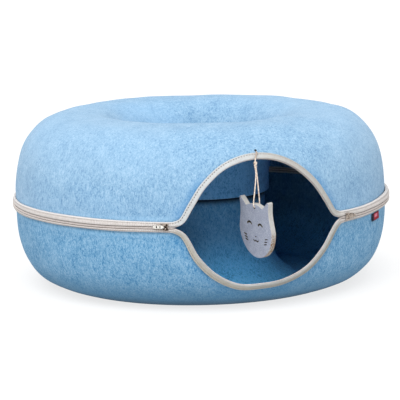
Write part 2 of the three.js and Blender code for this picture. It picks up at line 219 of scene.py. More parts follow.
class Shader(Tree):
    """The node tree of one finish."""

    def __init__(self, name: str) -> None:
        """Makes the material and empties its tree.

        Args:
            name: the material's name.
        """
        self.material = bpy.data.materials.new(name)
        self.material.use_nodes = True
        self.material.node_tree.nodes.clear()
        super().__init__(self.material.node_tree)

    def place(self, scale: tuple[float, float, float] = (1, 1, 1)) -> Value:
        """The object's own coordinates, in metres, stretched by a scale."""
        here = self.node("ShaderNodeTexCoord", out="Object")
        return self.node("ShaderNodeMapping", {}, {"Vector": here, "Scale": scale})

    def layout(self, name: str) -> tuple[Value, Value]:
        """The two coordinates of one of the piece's own UV maps."""
        where = self.node("ShaderNodeUVMap", {"uv_map": name})
        return where.axis("X"), where.axis("Y")

    def noise(
        self, where: Value, scale: float, detail: float = 2.0, rough: float = 0.5, bent: float = 0.0
    ) -> Value:
        """Noise from 0 to 1 whose patches are about 1 / scale metres wide."""
        sizes = {"Vector": where, "Scale": scale, "Detail": detail, "Roughness": rough, "Distortion": bent}
        return self.node("ShaderNodeTexNoise", {"noise_dimensions": "3D"}, sizes)

    def mix(self, share: Source, first: Tone, second: Tone) -> Value:
        """A colour between two colours.

        Args:
            share: how much of the second colour shows, from 0 to 1.
            first: the colour that is there.
            second: the colour that is mixed in.

        Returns:
            The mixed colour.
        """
        ends = {0: share}
        for socket, colour in ((6, first), (7, second)):
            ends[socket] = colour if isinstance(colour, Value) else (*colour, 1.0)
        return self.node("ShaderNodeMix", {"data_type": "RGBA"}, ends, out=2)

    def bump(self, height: Value, depth: float, strength: float = 1.0) -> Value:
        """A bump of a real depth in metres."""
        return self.node("ShaderNodeBump", {}, {"Height": height, "Distance": depth, "Strength": strength})

    def finish(self, colour: Tone, **sockets: Source) -> Material:
        """Ends the tree in a Principled surface.

        Args:
            colour: the base colour.
            sockets: other sockets, with underscores for spaces.

        Returns:
            The material.
        """
        base = colour if isinstance(colour, Value) else (*colour, 1.0)
        inputs = {"Base Color": base}
        inputs.update({name.replace("_", " "): source for name, source in sockets.items()})
        surface = self.node("ShaderNodeBsdfPrincipled", {}, inputs)
        self.node("ShaderNodeOutputMaterial", {}, {"Surface": surface})
        return self.material


@dataclass(frozen=True)
class NeedleFelt:
    """Soft mottled needle felt: short fibres of several shades, matted in clumps."""

    name: str
    deep: Colour
    base: Colour
    light: Colour
    pale: Colour
    clump: float = 330.0
    upright: float = 0.5
    finer: tuple[float, float, float] = (2.6, 0.14, 5.0)
    shares: tuple[float, float, float] = (0.36, 0.50, 0.14)
    spread: float = 0.088
    specks: Span = (0.605, 0.705)
    speck_share: float = 0.75
    hair: float = 0.010
    hair_share: float = 0.25
    sheen: float = 0.03
    relief: float = 0.0012

    def make(self) -> Material:
        """Builds the material; its clumps stand upright on walls and lie evenly on top.

        Returns:
            The material.
        """
        felt = Shader(self.name)
        here = felt.place()
        drawn = felt.place((1.0, 1.0, self.upright))
        fleck, patch, fibre = (self.clump * times for times in self.finer)
        clumps = felt.noise(drawn, self.clump, 3.0, 0.65, 0.6)
        flecks = felt.noise(drawn, fleck, 3.0, 0.7, 1.0)
        broad = felt.noise(here, patch, 3.0, 0.6)
        fuzz = felt.noise(here, fibre, 2.0, 0.6)
        tone = clumps * self.shares[0] + flecks * self.shares[1] + broad * self.shares[2]
        stops = [
            (0.5 - self.spread, self.deep),
            (0.5 - self.spread * 0.25, self.base),
            (0.5 + self.spread * 0.3, self.light),
            (0.5 + self.spread, self.pale),
        ]
        colour = felt.node("ShaderNodeValToRGB", {"stops": stops}, {"Fac": tone})
        specks = felt.noise(drawn, self.clump * 0.9, 4.0, 0.75, 1.4).rise(*self.specks)
        colour = felt.mix(specks * self.speck_share, colour, self.deep)
        hairs = abs(felt.noise(drawn, self.clump * 1.1, 1.0, 0.5, 2.6) - 0.5)
        colour = felt.mix(self.hair_share - hairs.rise(0.0, self.hair) * self.hair_share, colour, self.pale)
        colour = self.shaded(felt, here, tone, colour)
        height = clumps * 0.6 + flecks * 0.3 + fuzz * 0.3
        return felt.finish(
            colour,
            Roughness=0.92,
            Specular_IOR_Level=0.15,
            Sheen_Weight=self.sheen,
            Sheen_Roughness=0.6,
            Normal=felt.bump(height, self.relief, 0.8),
        )

    def shaded(self, felt: Shader, here: Value, tone: Value, colour: Value) -> Value:
        """The colour with the painted light and shade that a piece has in places; plain felt has none."""
        return colour


@dataclass(frozen=True)
class MouldedFelt(NeedleFelt):
    """Felt of a half shell, with painted light and shade.

    Its inside is a deeper blue, brighter low down: painted light that bounces inside and falls in through
    the mouth. Painted light makes it paler beside the closed zip, on its shoulders and in a patch inside the
    hole's rim. Painted shade makes it darker beside the mouth, low on its walls and at its foot; a painted
    shadow lies under the inner seam, and painted shade fills the hole where the twine comes out.
    """

    # Painted light inside: a deeper blue for light that bounces within, brighter low down where light falls
    # in through the mouth.
    inner: Colour = (0.10, 0.29, 0.485)
    inner_lit_low: Colour = (0.125, 0.54, 0.92)
    inner_deep: Colour = (0.045, 0.19, 0.38)
    inner_pale: Colour = (0.20, 0.44, 0.66)
    inner_share: float = 0.85
    # Painted light on the felt beside the closed zip, lifting the shade that the tape casts there.
    edge: Colour = (0.40, 0.70, 0.98)
    edge_reach: Span = (4.5, 12.0)
    edge_light: float = 0.0
    # Painted light on the upper shoulders, away from the middle.
    shoulder: Span = (0.185, 0.225)
    shoulder_aside: Span = (0.08, 0.16)
    shoulder_light: float = 0.0
    # A painted light patch inside the hole's rim at the back left, lightening its shade.
    rim: Colour = (0.28, 0.48, 0.70)
    rim_patch: Place = (-0.058, 0.118, 0.213)
    rim_reach: Span = (0.045, 0.105)
    rim_light: float = 0.0
    # Painted shade beside the mouth, below its top, and low on the outer walls.
    shade: Colour = (0.03, 0.17, 0.38)
    mouth_reach: Span = (5.0, 38.0)
    mouth_top: Span = (0.19, 0.225)
    mouth_shade: float = 0.0
    low_top: Span = (0.155, 0.205)
    low_shade: float = 0.0
    # Painted shade at the foot, darkest where it meets the floor.
    foot: Colour = (0.042, 0.135, 0.235)
    ground: Colour = (0.01, 0.02, 0.03)
    foot_shade_share: float = 0.0
    # Painted shadow on the lower half's inner wall, under the edge of the upper half.
    seam: Colour = (0.0, 0.001, 0.004)
    seam_height: float = 0.1435
    seam_shadow_share: float = 0.0
    # A painted dark spot for the shade in the hole where the twine comes out.
    hole: Place = (0.0, 0.0, -1.0)
    hole_radius: float = 0.0022

    def shaded(self, felt: Shader, here: Value, tone: Value, colour: Value) -> Value:
        """Adds the inside's colour and the painted light and shade.

        Args:
            felt: the tree that is being built.
            here: the object's own coordinates.
            tone: the mottle, from 0 to 1 about 0.5.
            colour: the mottled colour.

        Returns:
            The shaded colour.
        """
        inside, hollow = felt.layout("sides")
        past_edge, opened = felt.layout("edge")
        height = here.axis("Z")
        outside = 1.0 - inside
        # The inside takes the lining's colour, which holds painted light.
        colour = felt.mix(inside * self.inner_share, colour, self.lining(felt, height, tone))
        # Painted light beside the closed zip.
        lit = (1.0 - past_edge.rise(*self.edge_reach)) * (1.0 - opened) * self.edge_light
        colour = felt.mix(lit, colour, self.edge)
        # Painted light: paler shoulders.
        aside = abs(here.axis("X")).rise(*self.shoulder_aside)
        painted_shoulder_light = height.rise(*self.shoulder) * aside * outside * self.shoulder_light
        colour = felt.mix(painted_shoulder_light, colour, self.pale)
        # Painted light in a patch inside the hole's rim.
        patch = (1.0 - here.apart(self.rim_patch).rise(*self.rim_reach)) * outside * self.rim_light
        colour = felt.mix(patch, colour, self.rim)
        # Painted shade beside the mouth and low on the walls.
        beside_mouth = (1.0 - past_edge.rise(*self.mouth_reach)) * opened
        dimmed = beside_mouth * (1.0 - height.rise(*self.mouth_top)) * self.mouth_shade
        low = (1.0 - height.rise(*self.low_top)) * outside * self.low_shade
        colour = felt.mix(dimmed.most(low), colour, self.shade)
        # Painted shade at the foot, with a darker painted shade right at the floor.
        colour = felt.mix((1.0 - height.rise(0.006, 0.060)) * outside * self.foot_shade_share, colour, self.foot)
        under = (1.0 - height.rise(0.002, 0.022)) * outside * self.foot_shade_share * 0.7
        colour = felt.mix(under, colour, self.ground)
        # Painted shadow under the inner seam.
        colour = felt.mix(self.shadow_under_seam(height) * inside * hollow * self.seam_shadow_share, colour, self.seam)
        # Painted shade fills the hole where the twine comes out.
        pierced = 1.0 - here.apart(self.hole).rise(self.hole_radius * 0.8, self.hole_radius)
        return felt.mix(pierced, colour, self.ground)

    def lining(self, felt: Shader, height: Value, tone: Value) -> Value:
        """The inner side's mottle over painted light: a deeper blue, and brighter low down.

        Args:
            felt: the tree that is being built.
            height: how high a place is.
            tone: the mottle, from 0 to 1 about 0.5.

        Returns:
            The inner side's colour.
        """
        lining = felt.mix(height.rise(0.015, 0.095), self.inner_lit_low, self.inner)
        lining = felt.mix(1.0 - tone.rise(0.40, 0.52), lining, self.inner_deep)
        return felt.mix(tone.rise(0.50, 0.62) * 0.6, lining, self.inner_pale)

    def shadow_under_seam(self, height: Value) -> Value:
        """The painted shadow under the upper half's inner edge, which deepens up to its height and ends
        sharply above it.
        """
        under = height.rise(self.seam_height - 0.017, self.seam_height + 0.0005)
        return under * under * (1.0 - height.rise(self.seam_height + 0.0035, self.seam_height + 0.0055))


@dataclass(frozen=True)
class WovenTape:
    """Ribbed zip tape with painted shade by the closed coil, and a pale fold over the coil round the mouth.
    """

    name: str
    # The open tape's colours: lit on the left, with painted shade on the right.
    open_left_lit: Colour
    open_right_shaded: Colour
    fold: Span
    fold_colour: Colour
    sewn_at: float = 0.57
    hole_share: float = 0.8
    thread: Colour = display(166, 158, 152)
    bright: Colour = display(197, 193, 191)
    shade: Colour = display(126, 110, 102)
    hole: Colour = display(58, 50, 46)
    rib: float = 2.8
    slant: float = 2.1
    cord: float = 0.7
    groove: float = 1.75

    def make(self) -> Material:
        """Builds the material on the tape's layouts: along and across, its stitches, and where it is open.

        Returns:
            The material.
        """
        tape = Shader(self.name)
        along, out = tape.layout("cloth")
        stitch, share = tape.layout("sewn")
        opened, right = tape.layout("opened")
        ribs = (along / self.rib).zigzag()
        slant = ((along + out * 0.7) / self.slant).zigzag()
        cords = (out / self.cord).zigzag()
        grime = tape.noise(tape.place(), 160.0, 3.0, 0.6)
        wear = grime.rise(0.35, 0.75)
        body = tape.mix(ribs.rise(0.2, 0.9) * 0.6 + wear * 0.3, self.bright, self.thread)
        body = tape.mix(share.rise(0.78, 0.88) * 0.8, body, self.bright)
        # Painted shade in the groove beside the closed coil.
        body = tape.mix(out.near(self.groove, 0.35, 0.4) * 0.8, body, self.shade)
        past_fold = out - (right * (self.fold[1] - self.fold[0]) + self.fold[0])
        flap = 1.0 - past_fold.rise(0.0, 0.7)
        # Painted light and shade round the mouth: lighter on the left, darker on the right.
        mouth = tape.mix(right, self.open_left_lit, self.open_right_shaded)
        mouth = tape.mix(flap.most(share.rise(0.84, 0.92) * 0.7), mouth, self.fold_colour)
        mouth = tape.mix(slant * 0.35 + wear * 0.15, mouth, self.shade)
        # Painted shade along a groove on the right of the mouth.
        mouth = tape.mix(past_fold.near(0.7, 0.2, 0.5) * right * 0.4, mouth, self.shade)
        colour = tape.mix(opened, body, mouth)
        # Painted shade in the needle holes between stitches.
        holes = share.near(self.sewn_at, 0.06, 0.06) * (1.0 - abs(stitch.fraction() - 0.5).rise(0.14, 0.24))
        shown = opened * (1.0 - right) * (1.0 - right) * 0.95 + 0.05
        colour = tape.mix(holes * shown * self.hole_share, colour, self.hole)
        # Painted shade along the sewn row.
        colour = tape.mix(share.near(self.sewn_at, 0.04, 0.08) * (opened * 0.15 + 0.10), colour, self.shade)
        height = ribs.rise(0.0, 0.8) * (1.0 - opened) + slant * opened * 0.7 + cords * 0.2 + grime * 0.3
        return tape.finish(
            colour,
            Roughness=0.82,
            Specular_IOR_Level=0.25,
            Sheen_Weight=0.06,
            Normal=tape.bump(height - holes * 0.8, 0.0006),
        )


@dataclass(frozen=True)
class Nylon:
    """Off-white nylon of the coils, and the sewing thread."""

    name: str
    shade: Colour = display(198, 190, 186)
    dull: Colour = display(158, 148, 143)
    rough: float = 0.42

    def make(self) -> Material:
        """Builds the material with a little grime.

        Returns:
            The material.
        """
        nylon = Shader(self.name)
        patches = nylon.noise(nylon.place(), 420.0, 3.0, 0.6)
        colour = nylon.mix(patches.rise(0.42, 0.72) * 0.45, self.shade, self.dull)
        roughness = patches * 0.3 + self.rough
        return nylon.finish(colour, Roughness=roughness, Normal=nylon.bump(patches, 0.0002))


@dataclass(frozen=True)
class Nickel:
    """Bright nickel plate, brushed dull by use."""

    name: str
    plate: Colour
    wear_and_shade: Colour

    def make(self) -> Material:
        """Builds the material with fine scratches and darker patches of wear.

        Returns:
            The material.
        """
        metal = Shader(self.name)
        scratches = metal.noise(metal.place((1.0, 1.0, 7.0)), 900.0, 3.0, 0.7)
        patches = metal.noise(metal.place(), 520.0, 3.0, 0.6)
        colour = metal.mix(patches.rise(0.48, 0.66) * 0.6, self.plate, self.wear_and_shade)
        roughness = scratches * 0.25 + 0.16
        relief = metal.bump(scratches, 0.00008)
        return metal.finish(colour, Metallic=1.0, Roughness=roughness, Normal=relief)


@dataclass(frozen=True)
class WovenLabel:
    """A small woven label: a red field with a dark border, a painted highlight and no text."""

    name: str
    field: Colour = display(140, 6, 32)
    # The colour of the painted highlight.
    light: Colour = display(226, 134, 156)
    border: Colour = display(26, 14, 36)
    threads: Span = (46.0, 18.0)

    def make(self) -> Material:
        """Builds the material on the label's layout, whose sides run from 0 to 1.

        Returns:
            The material.
        """
        label = Shader(self.name)
        along, down = label.layout("cloth")
        sides = (1.0 - along.rise(0.20, 0.25)).most(along.rise(0.965, 0.985) * 0.7)
        ends = down.rise(0.93, 0.96).most(1.0 - down.rise(0.0, 0.03)) * 0.6
        weave = (along * self.threads[0]).zigzag() * (down * self.threads[1]).zigzag()
        # A painted highlight on the red field.
        painted_highlight = along.near(0.54, 0.12, 0.18) * down.near(0.40, 0.10, 0.20)
        colour = label.mix(painted_highlight * 0.8, self.field, self.light)
        colour = label.mix(weave * 0.25, colour, self.border)
        colour = label.mix(sides.most(ends), colour, self.border)
        return label.finish(colour, Roughness=0.72, Specular_IOR_Level=0.2, Normal=label.bump(weave, 0.0003))


@dataclass(frozen=True)
class CutEdge:
    """The cut edge of thick felt, which a hot cutter browned in streaks below a height."""

    name: str
    clean: Colour = display(166, 166, 163)
    burnt: Colour = display(120, 88, 60)
    browned_below: float = 0.135

    def make(self) -> Material:
        """Builds the material with drawn fibres across the thickness.

        Returns:
            The material.
        """
        edge = Shader(self.name)
        here = edge.place()
        streaks = edge.noise(here, 420.0, 4.0, 0.7, 0.6)
        low = 1.0 - here.axis("Z").rise(self.browned_below - 0.02, self.browned_below)
        colour = edge.mix(streaks.rise(0.42, 0.60) * (low * 0.85 + 0.15), self.clean, self.burnt)
        return edge.finish(colour, Roughness=0.95, Specular_IOR_Level=0.2, Normal=edge.bump(streaks, 0.0008))


@dataclass(frozen=True)
class Jute:
    """Pale jute of the twine and its knots."""

    name: str
    straw: Colour = display(230, 218, 204)
    dark: Colour = display(166, 142, 122)
    wear_and_shade: Colour = display(122, 96, 80)
    shaded_from: float = 0.2335

    def make(self) -> Material:
        """Builds the material with stray darker fibres, and a browner painted shade above a height.

        Returns:
            The material.
        """
        twine = Shader(self.name)
        fibres = twine.noise(twine.place((1.0, 1.0, 0.6)), 1100.0, 3.0, 0.7, 0.8)
        colour = twine.mix(fibres.rise(0.42, 0.62), self.straw, self.dark)
        # Painted shade on the twine above a height.
        browned = twine.place().axis("Z").rise(self.shaded_from, self.shaded_from + 0.002)
        colour = twine.mix(browned * 0.6, colour, self.wear_and_shade)
        return twine.finish(colour, Roughness=0.9, Sheen_Weight=0.2, Normal=twine.bump(fibres, 0.0003))


@dataclass(frozen=True)
class StudioFloor:
    """The pale plain floor of the studio, lit a little from below so that shadows on it stay faint."""

    name: str
    shade: float = 0.17
    glow: float = 0.75

    def make(self) -> Material:
        """Builds the plain matt material.

        Returns:
            The material.
        """
        floor = Shader(self.name)
        grey, white = (self.shade,) * 3, (1.0,) * 4
        return floor.finish(grey, Roughness=0.95, Emission_Color=white, Emission_Strength=self.glow)


def linked(name: str, data: bpy.types.ID) -> Piece:
    """Adds an object to the scene.

    Args:
        name: its name.
        data: what it shows.

    Returns:
        The object.
    """
    made = bpy.data.objects.new(name, data)
    bpy.context.scene.collection.objects.link(made)
    return made


def final_mesh(holder: Piece) -> bpy.types.Mesh:
    """The mesh that an object ends in, with the object itself taken away.

    Args:
        holder: the object.

    Returns:
        The mesh.
    """
    evaluated = holder.evaluated_get(bpy.context.evaluated_depsgraph_get())
    made = bpy.data.meshes.new_from_object(evaluated)
    bpy.data.objects.remove(holder)
    return made


class Form:
    """Points and faces that become one piece of the scene, in millimetres."""

    def __init__(self) -> None:
        """Starts without points or faces."""
        self.points: list[Array] = []
        self.faces: Faces = []
        self.slots: list[int] = []
        self.layouts: dict[str, Array] = {}
        self.count = 0

    def add(self, points: Array, faces: Faces, slot: int = 0) -> None:
        """Adds points, and the faces between them.

        Args:
            points: rows of x, y and z.
            faces: corner numbers within these points.
            slot: which of the piece's materials the faces wear.
        """
        self.points.append(np.asarray(points, dtype=float).reshape(-1, 3))
        self.faces.extend(tuple(corner + self.count for corner in face) for face in faces)
        self.slots.extend([slot] * len(faces))
        self.count += len(self.points[-1])

    def add_mesh(self, mesh: bpy.types.Mesh, to_ring: Optional[Matrix] = None, slot: int = 0) -> None:
        """Adds a copy of a mesh.

        Args:
            mesh: the mesh, in metres where to_ring is None and in millimetres otherwise.
            to_ring: turns the mesh's places into the ring's frame.
            slot: the material that its faces wear.
        """
        points = np.array([tuple(to_ring @ v.co if to_ring else v.co / MM) for v in mesh.vertices])
        self.add(points, [tuple(face.vertices) for face in mesh.polygons], slot)

    def piece(self, name: str, materials: list[Material], axis_y: float, smooth: bool = True) -> Piece:
        """Makes the piece in metres, with its faces turned outwards.

        Args:
            name: the piece's name.
            materials: its materials, by slot.
            axis_y: y of the ring's axis.
            smooth: whether its faces are shaded smoothly.

        Returns:
            The object, which stands at the origin.
        """
        mesh = bpy.data.meshes.new(name)
        places = (np.concatenate(self.points) + [0.0, axis_y, 0.0]) * MM
        mesh.from_pydata(places.tolist(), [], self.faces)
        for layout, corners in self.layouts.items():
            mesh.uv_layers.new(name=layout).data.foreach_set("uv", np.array(corners).ravel())
        mesh.polygons.foreach_set("material_index", self.slots)
        mesh.polygons.foreach_set("use_smooth", [smooth] * len(self.faces))
        work = bmesh.new()
        work.from_mesh(mesh)
        bmesh.ops.recalc_face_normals(work, faces=work.faces)
        work.to_mesh(mesh)
        work.free()
        for material in materials:
            mesh.materials.append(material)
        return linked(name, mesh)


def grid_faces(rows: int, columns: int, rows_close: bool, columns_close: bool) -> Faces:
    """Faces between neighbouring points of a grid.

    Args:
        rows: how many rows of points there are.
        columns: how many points a row has.
        rows_close: whether the last row joins the first.
        columns_close: whether the last point of a row joins its first.

    Returns:
        Four corner numbers for each face.
    """
    faces = []
    for i in range(rows if rows_close else rows - 1):
        here, ahead = i * columns, (i + 1) % rows * columns
        for j in range(columns if columns_close else columns - 1):
            beside = (j + 1) % columns
            faces.append((here + j, here + beside, ahead + beside, ahead + j))
    return faces


def capped(rows: int, columns: int) -> Faces:
    """Faces of a grid whose rows are closed rings, with its first and last ring filled.

    Args:
        rows: how many rings there are.
        columns: how many points a ring has.

    Returns:
        The corner numbers of each face.
    """
    last = (rows - 1) * columns
    ends = [tuple(range(columns)), tuple(range(last + columns - 1, last - 1, -1))]
    return grid_faces(rows, columns, False, True) + ends


def row_corners(here: Array, ahead: Array) -> Array:
    """The values at the corners of each face of grid_faces.

    Args:
        here: the values at the start of each row of faces.
        ahead: the values at its end.

    Returns:
        One row of values for each corner of each face.
    """
    corners = [here, np.roll(here, -1, axis=1), np.roll(ahead, -1, axis=1), ahead]
    return np.stack(corners, axis=2).reshape(-1, here.shape[-1])


def face_corners(values: Array) -> Array:
    """The same for a grid that closes both ways."""
    return row_corners(values, np.roll(values, -1, axis=0))


def smooth_step(x: Array) -> Array:
    """A smooth rise from 0 to 1 as x goes from 0 to 1."""
    x = np.clip(x, 0.0, 1.0)
    return x * x * (3.0 - 2.0 * x)


def unit(vectors: Array) -> Array:
    """Vectors of length 1 with the same directions."""
    return vectors / np.linalg.norm(vectors, axis=-1, keepdims=True)


def lengths_along(route: Array) -> Array:
    """How far along a line each of its places lies."""
    return np.concatenate([[0.0], np.cumsum(np.linalg.norm(np.diff(route, axis=0), axis=1))])


def rings_round(route: Array, first: Array, second: Array, radius: float, sides: int) -> Array:
    """Rings of points round a route.

    Args:
        route: places along the middle line.
        first: a direction square to the route at each place.
        second: another one, square to both.
        radius: the rings' radius.
        sides: how many points a ring has.

    Returns:
        The points, ring by ring.
    """
    turns = np.arange(sides) * 2 * math.pi / sides
    ring = first[:, None] * np.cos(turns)[None, :, None] + second[:, None] * np.sin(turns)[None, :, None]
    return (route[:, None] + ring * radius).reshape(-1, 3)


def tube(route: Array, radius: float, sides: int) -> tuple[Array, Faces]:
    """The points and faces of a round tube along a route, with its two ends filled."""
    return rings_round(route, *carried_frame(route), radius, sides), capped(len(route), sides)


def closed_tube(route: Array, radius: float, sides: int) -> tuple[Array, Faces]:
    """A round tube along a route that ends where it starts.

    Args:
        route: places along the middle line, round its own middle.
        radius: the tube's radius.
        sides: how many sides the tube has.

    Returns:
        Its points and its faces.
    """
    ahead = unit(np.roll(route, -1, axis=0) - np.roll(route, 1, axis=0))
    outward = route - route.mean(axis=0) + 1e-6
    first = unit(np.cross(ahead, unit(outward)))
    points = rings_round(route, first, np.cross(first, ahead), radius, sides)
    return points, grid_faces(len(route), sides, True, True)


def carried_frame(route: Array) -> tuple[Array, Array]:
    """Two directions square to a route, carried along it without twisting.

    Args:
        route: places along the line.

    Returns:
        The two directions at each place.
    """
    ahead = unit(np.gradient(route, axis=0))
    aside = (0.31, 0.2, 0.93)
    start = np.cross(ahead[0], aside)
    normals = [start / np.linalg.norm(start)]
    for direction in ahead[1:]:
        normal = normals[-1] - direction * np.dot(normals[-1], direction)
        normals.append(normal / np.linalg.norm(normal))
    carried = np.array(normals)
    return carried, np.cross(ahead, carried)


def curve_through(rows: Array, per_span: int, even: bool) -> Array:
    """A Catmull-Rom curve through rows of numbers.

    Args:
        rows: the numbers to pass through.
        per_span: how many places to make between two rows.
        even: True for the even form, or False for the centripetal form, which suits uneven gaps.

    Returns:
        The rows along the curve, its two ends included.
    """
    first = rows[0] if even else 2 * rows[0] - rows[1]
    last = rows[-1] if even else 2 * rows[-1] - rows[-2]
    held = np.concatenate([[first], rows, [last]])
    made = []
    for a, b, c, d in zip(held, held[1:], held[2:], held[3:]):
        if even:
            start, end = (c - a) / 2, (d - b) / 2
        else:
            gaps = [max(1e-6, float(np.linalg.norm(q - p)) ** 0.5) for p, q in ((a, b), (b, c), (c, d))]
            start = ((b - a) / gaps[0] - (c - a) / (gaps[0] + gaps[1]) + (c - b) / gaps[1]) * gaps[1]
            end = ((c - b) / gaps[1] - (d - b) / (gaps[1] + gaps[2]) + (d - c) / gaps[2]) * gaps[1]
        for t in np.arange(per_span) / per_span:
            square, cube = t * t, t * t * t
            made.append(
                b * (2 * cube - 3 * square + 1)
                + start * (cube - 2 * square + t)
                + c * (3 * square - 2 * cube)
                + end * (cube - square)
            )
    made.append(rows[-1])
    return np.array(made)


def spaced(rows: Array, count: int, measured: int) -> Array:
    """Rows at even distances along a line.

    Args:
        rows: the line's rows of numbers.
        count: how many rows to make.
        measured: how many of the first columns the distance is measured over.

    Returns:
        The rows, the two ends included.
    """
    along = lengths_along(rows[:, :measured])
    wanted = np.linspace(0.0, along[-1], count)
    return np.stack([np.interp(wanted, along, rows[:, k]) for k in range(rows.shape[1])], axis=1)


def around(azimuth: Array, places: Array, values: Array) -> Array:
    """Values that a line round the ring has at its places, read at azimuths from -pi to pi.

    Args:
        azimuth: where the values are wanted.
        places: places of the line.
        values: one value for each of them.

    Returns:
        One value for each azimuth.
    """
    turns = np.arctan2(places[:, 0], -places[:, 1])
    order = np.argsort(turns)
    return np.interp(azimuth, turns[order], values[order], period=2 * math.pi)


@dataclass(frozen=True)
class ZipLine:
    """The closed zip round the ring.

    A row holds an azimuth in degrees, how deep the zip lies below a level line, the widths of its upper and
    lower bands, and how much further than usual they stand out.
    """

    rows: tuple[tuple[float, float, float, float, float], ...] = (
        (-180, 1.8, 10.4, 6.3, 0), (-100, 1.9, 10.0, 7.0, 0), (-88, 1.9, 9.9, 7.3, 0),
        (-81, 1.9, 10.8, 6.9, 0), (-75, 1.9, 10.8, 6.1, 0), (-65, 1.9, 11.2, 6.1, 0),
        (-59, 1.9, 11.3, 5.7, 0), (-53, 1.9, 11.2, 5.7, 0), (-48, 1.7, 10.7, 5.8, 0),
        (-43, 1.3, 10.2, 6.6, 0), (-38, 0.7, 9.3, 6.7, 0), (-33, 0.3, 8.9, 7.0, 0),
        (-28, 0.0, 8.4, 7.4, 0), (-12, 0.0, 9.4, 9.4, 0), (-2, 0.1, 9.4, 9.4, 0),
        (5, 0.5, 9.4, 9.4, 0), (12, 1.5, 9.4, 9.4, 0), (20, 3.2, 9.4, 9.4, 0),
        (27, 4.4, 9.6, 9.0, 0), (32, 5.6, 10.8, 6.9, 0), (37, 6.1, 11.2, 6.2, 0),
        (41, 5.5, 10.9, 6.2, 0), (46, 4.9, 11.0, 6.5, 0.05), (51, 4.3, 11.8, 6.5, 0.2),
        (60, 3.5, 12.4, 5.8, 0.4), (75, 2.4, 12.0, 5.4, 0.45), (120, 1.8, 10.4, 6.3, 0.05),
        (180, 1.8, 10.4, 6.3, 0),
    )

    def along(self, azimuth: Array, column: int) -> Array:
        """One column of the rows, read between them.

        Args:
            azimuth: where it is wanted, in radians.
            column: the column's number.

        Returns:
            One value for each azimuth.
        """
        line = curve_through(np.array(self.rows, dtype=float), 12, True)
        turn = np.arctan2(np.sin(azimuth), np.cos(azimuth)) / DEGREE
        return np.interp(turn, line[:, 0], line[:, column])

    def below(self, azimuth: Array) -> Array:
        """How far the zip line lies below its plane at azimuths in radians."""
        return self.along(azimuth, 1)

    def band(self, azimuth: Array, side: int) -> Array:
        """How wide the closed band is on the upper side, 1, or the lower one, -1."""
        return self.along(azimuth, 2 if side > 0 else 3)


@dataclass(frozen=True)
class HalfForm:
    """The shape of one moulded half: side is 1 for the upper and -1 for the lower one.

    A row of its mouth holds a place along the zip line from the middle, how far the edge is off that line
    there, and the width of the band.
    """

    name: str
    side: int
    height: float
    crest: float
    hole: float
    power: float
    past_zip: float
    flat: float
    mouth: tuple[Place, ...]
    radius: float = 300.0
    zip_height: float = 136.0
    felt: float = 4.0

    def wall(self, rim: float, rise: Array) -> tuple[Array, Array, Array]:
        """The wall's radius at a rise, and the two parts of its outward normal.

        Args:
            rim: the radius that the wall has at the zip line.
            rise: heights away from the zip's plane.

        Returns:
            Radius, the normal's part along it, and its part along the rise.
        """
        reach = rim - self.crest
        up = np.minimum(np.abs(rise) / self.height, 1.0)
        across = (1.0 - up**self.power) ** (1.0 / self.power)
        out = across ** (self.power - 1.0) / reach
        rising = np.sign(rise) * up ** (self.power - 1.0) / self.height
        size = np.hypot(out, rising)
        return self.crest + reach * across, out / size, rising / size

    def turned(self, azimuth: Array, radius: Array, rise: Array) -> Array:
        """Places at a radius and rise, turned to their azimuth from -y towards +x."""
        return np.stack([np.sin(azimuth) * radius, -np.cos(azimuth) * radius, rise], axis=-1)

    def on_felt(self, azimuth: Array, rise: Array) -> tuple[Array, Array]:
        """Places on the felt's outer face.

        Args:
            azimuth: their azimuths in radians.
            rise: how far they are from the zip's plane.

        Returns:
            The places, and the directions that the felt faces there.
        """
        radius, out, rising = self.wall(self.radius, rise)
        place = self.turned(azimuth, radius, self.zip_height + self.side * rise)
        return place, self.turned(azimuth, out, self.side * rising)


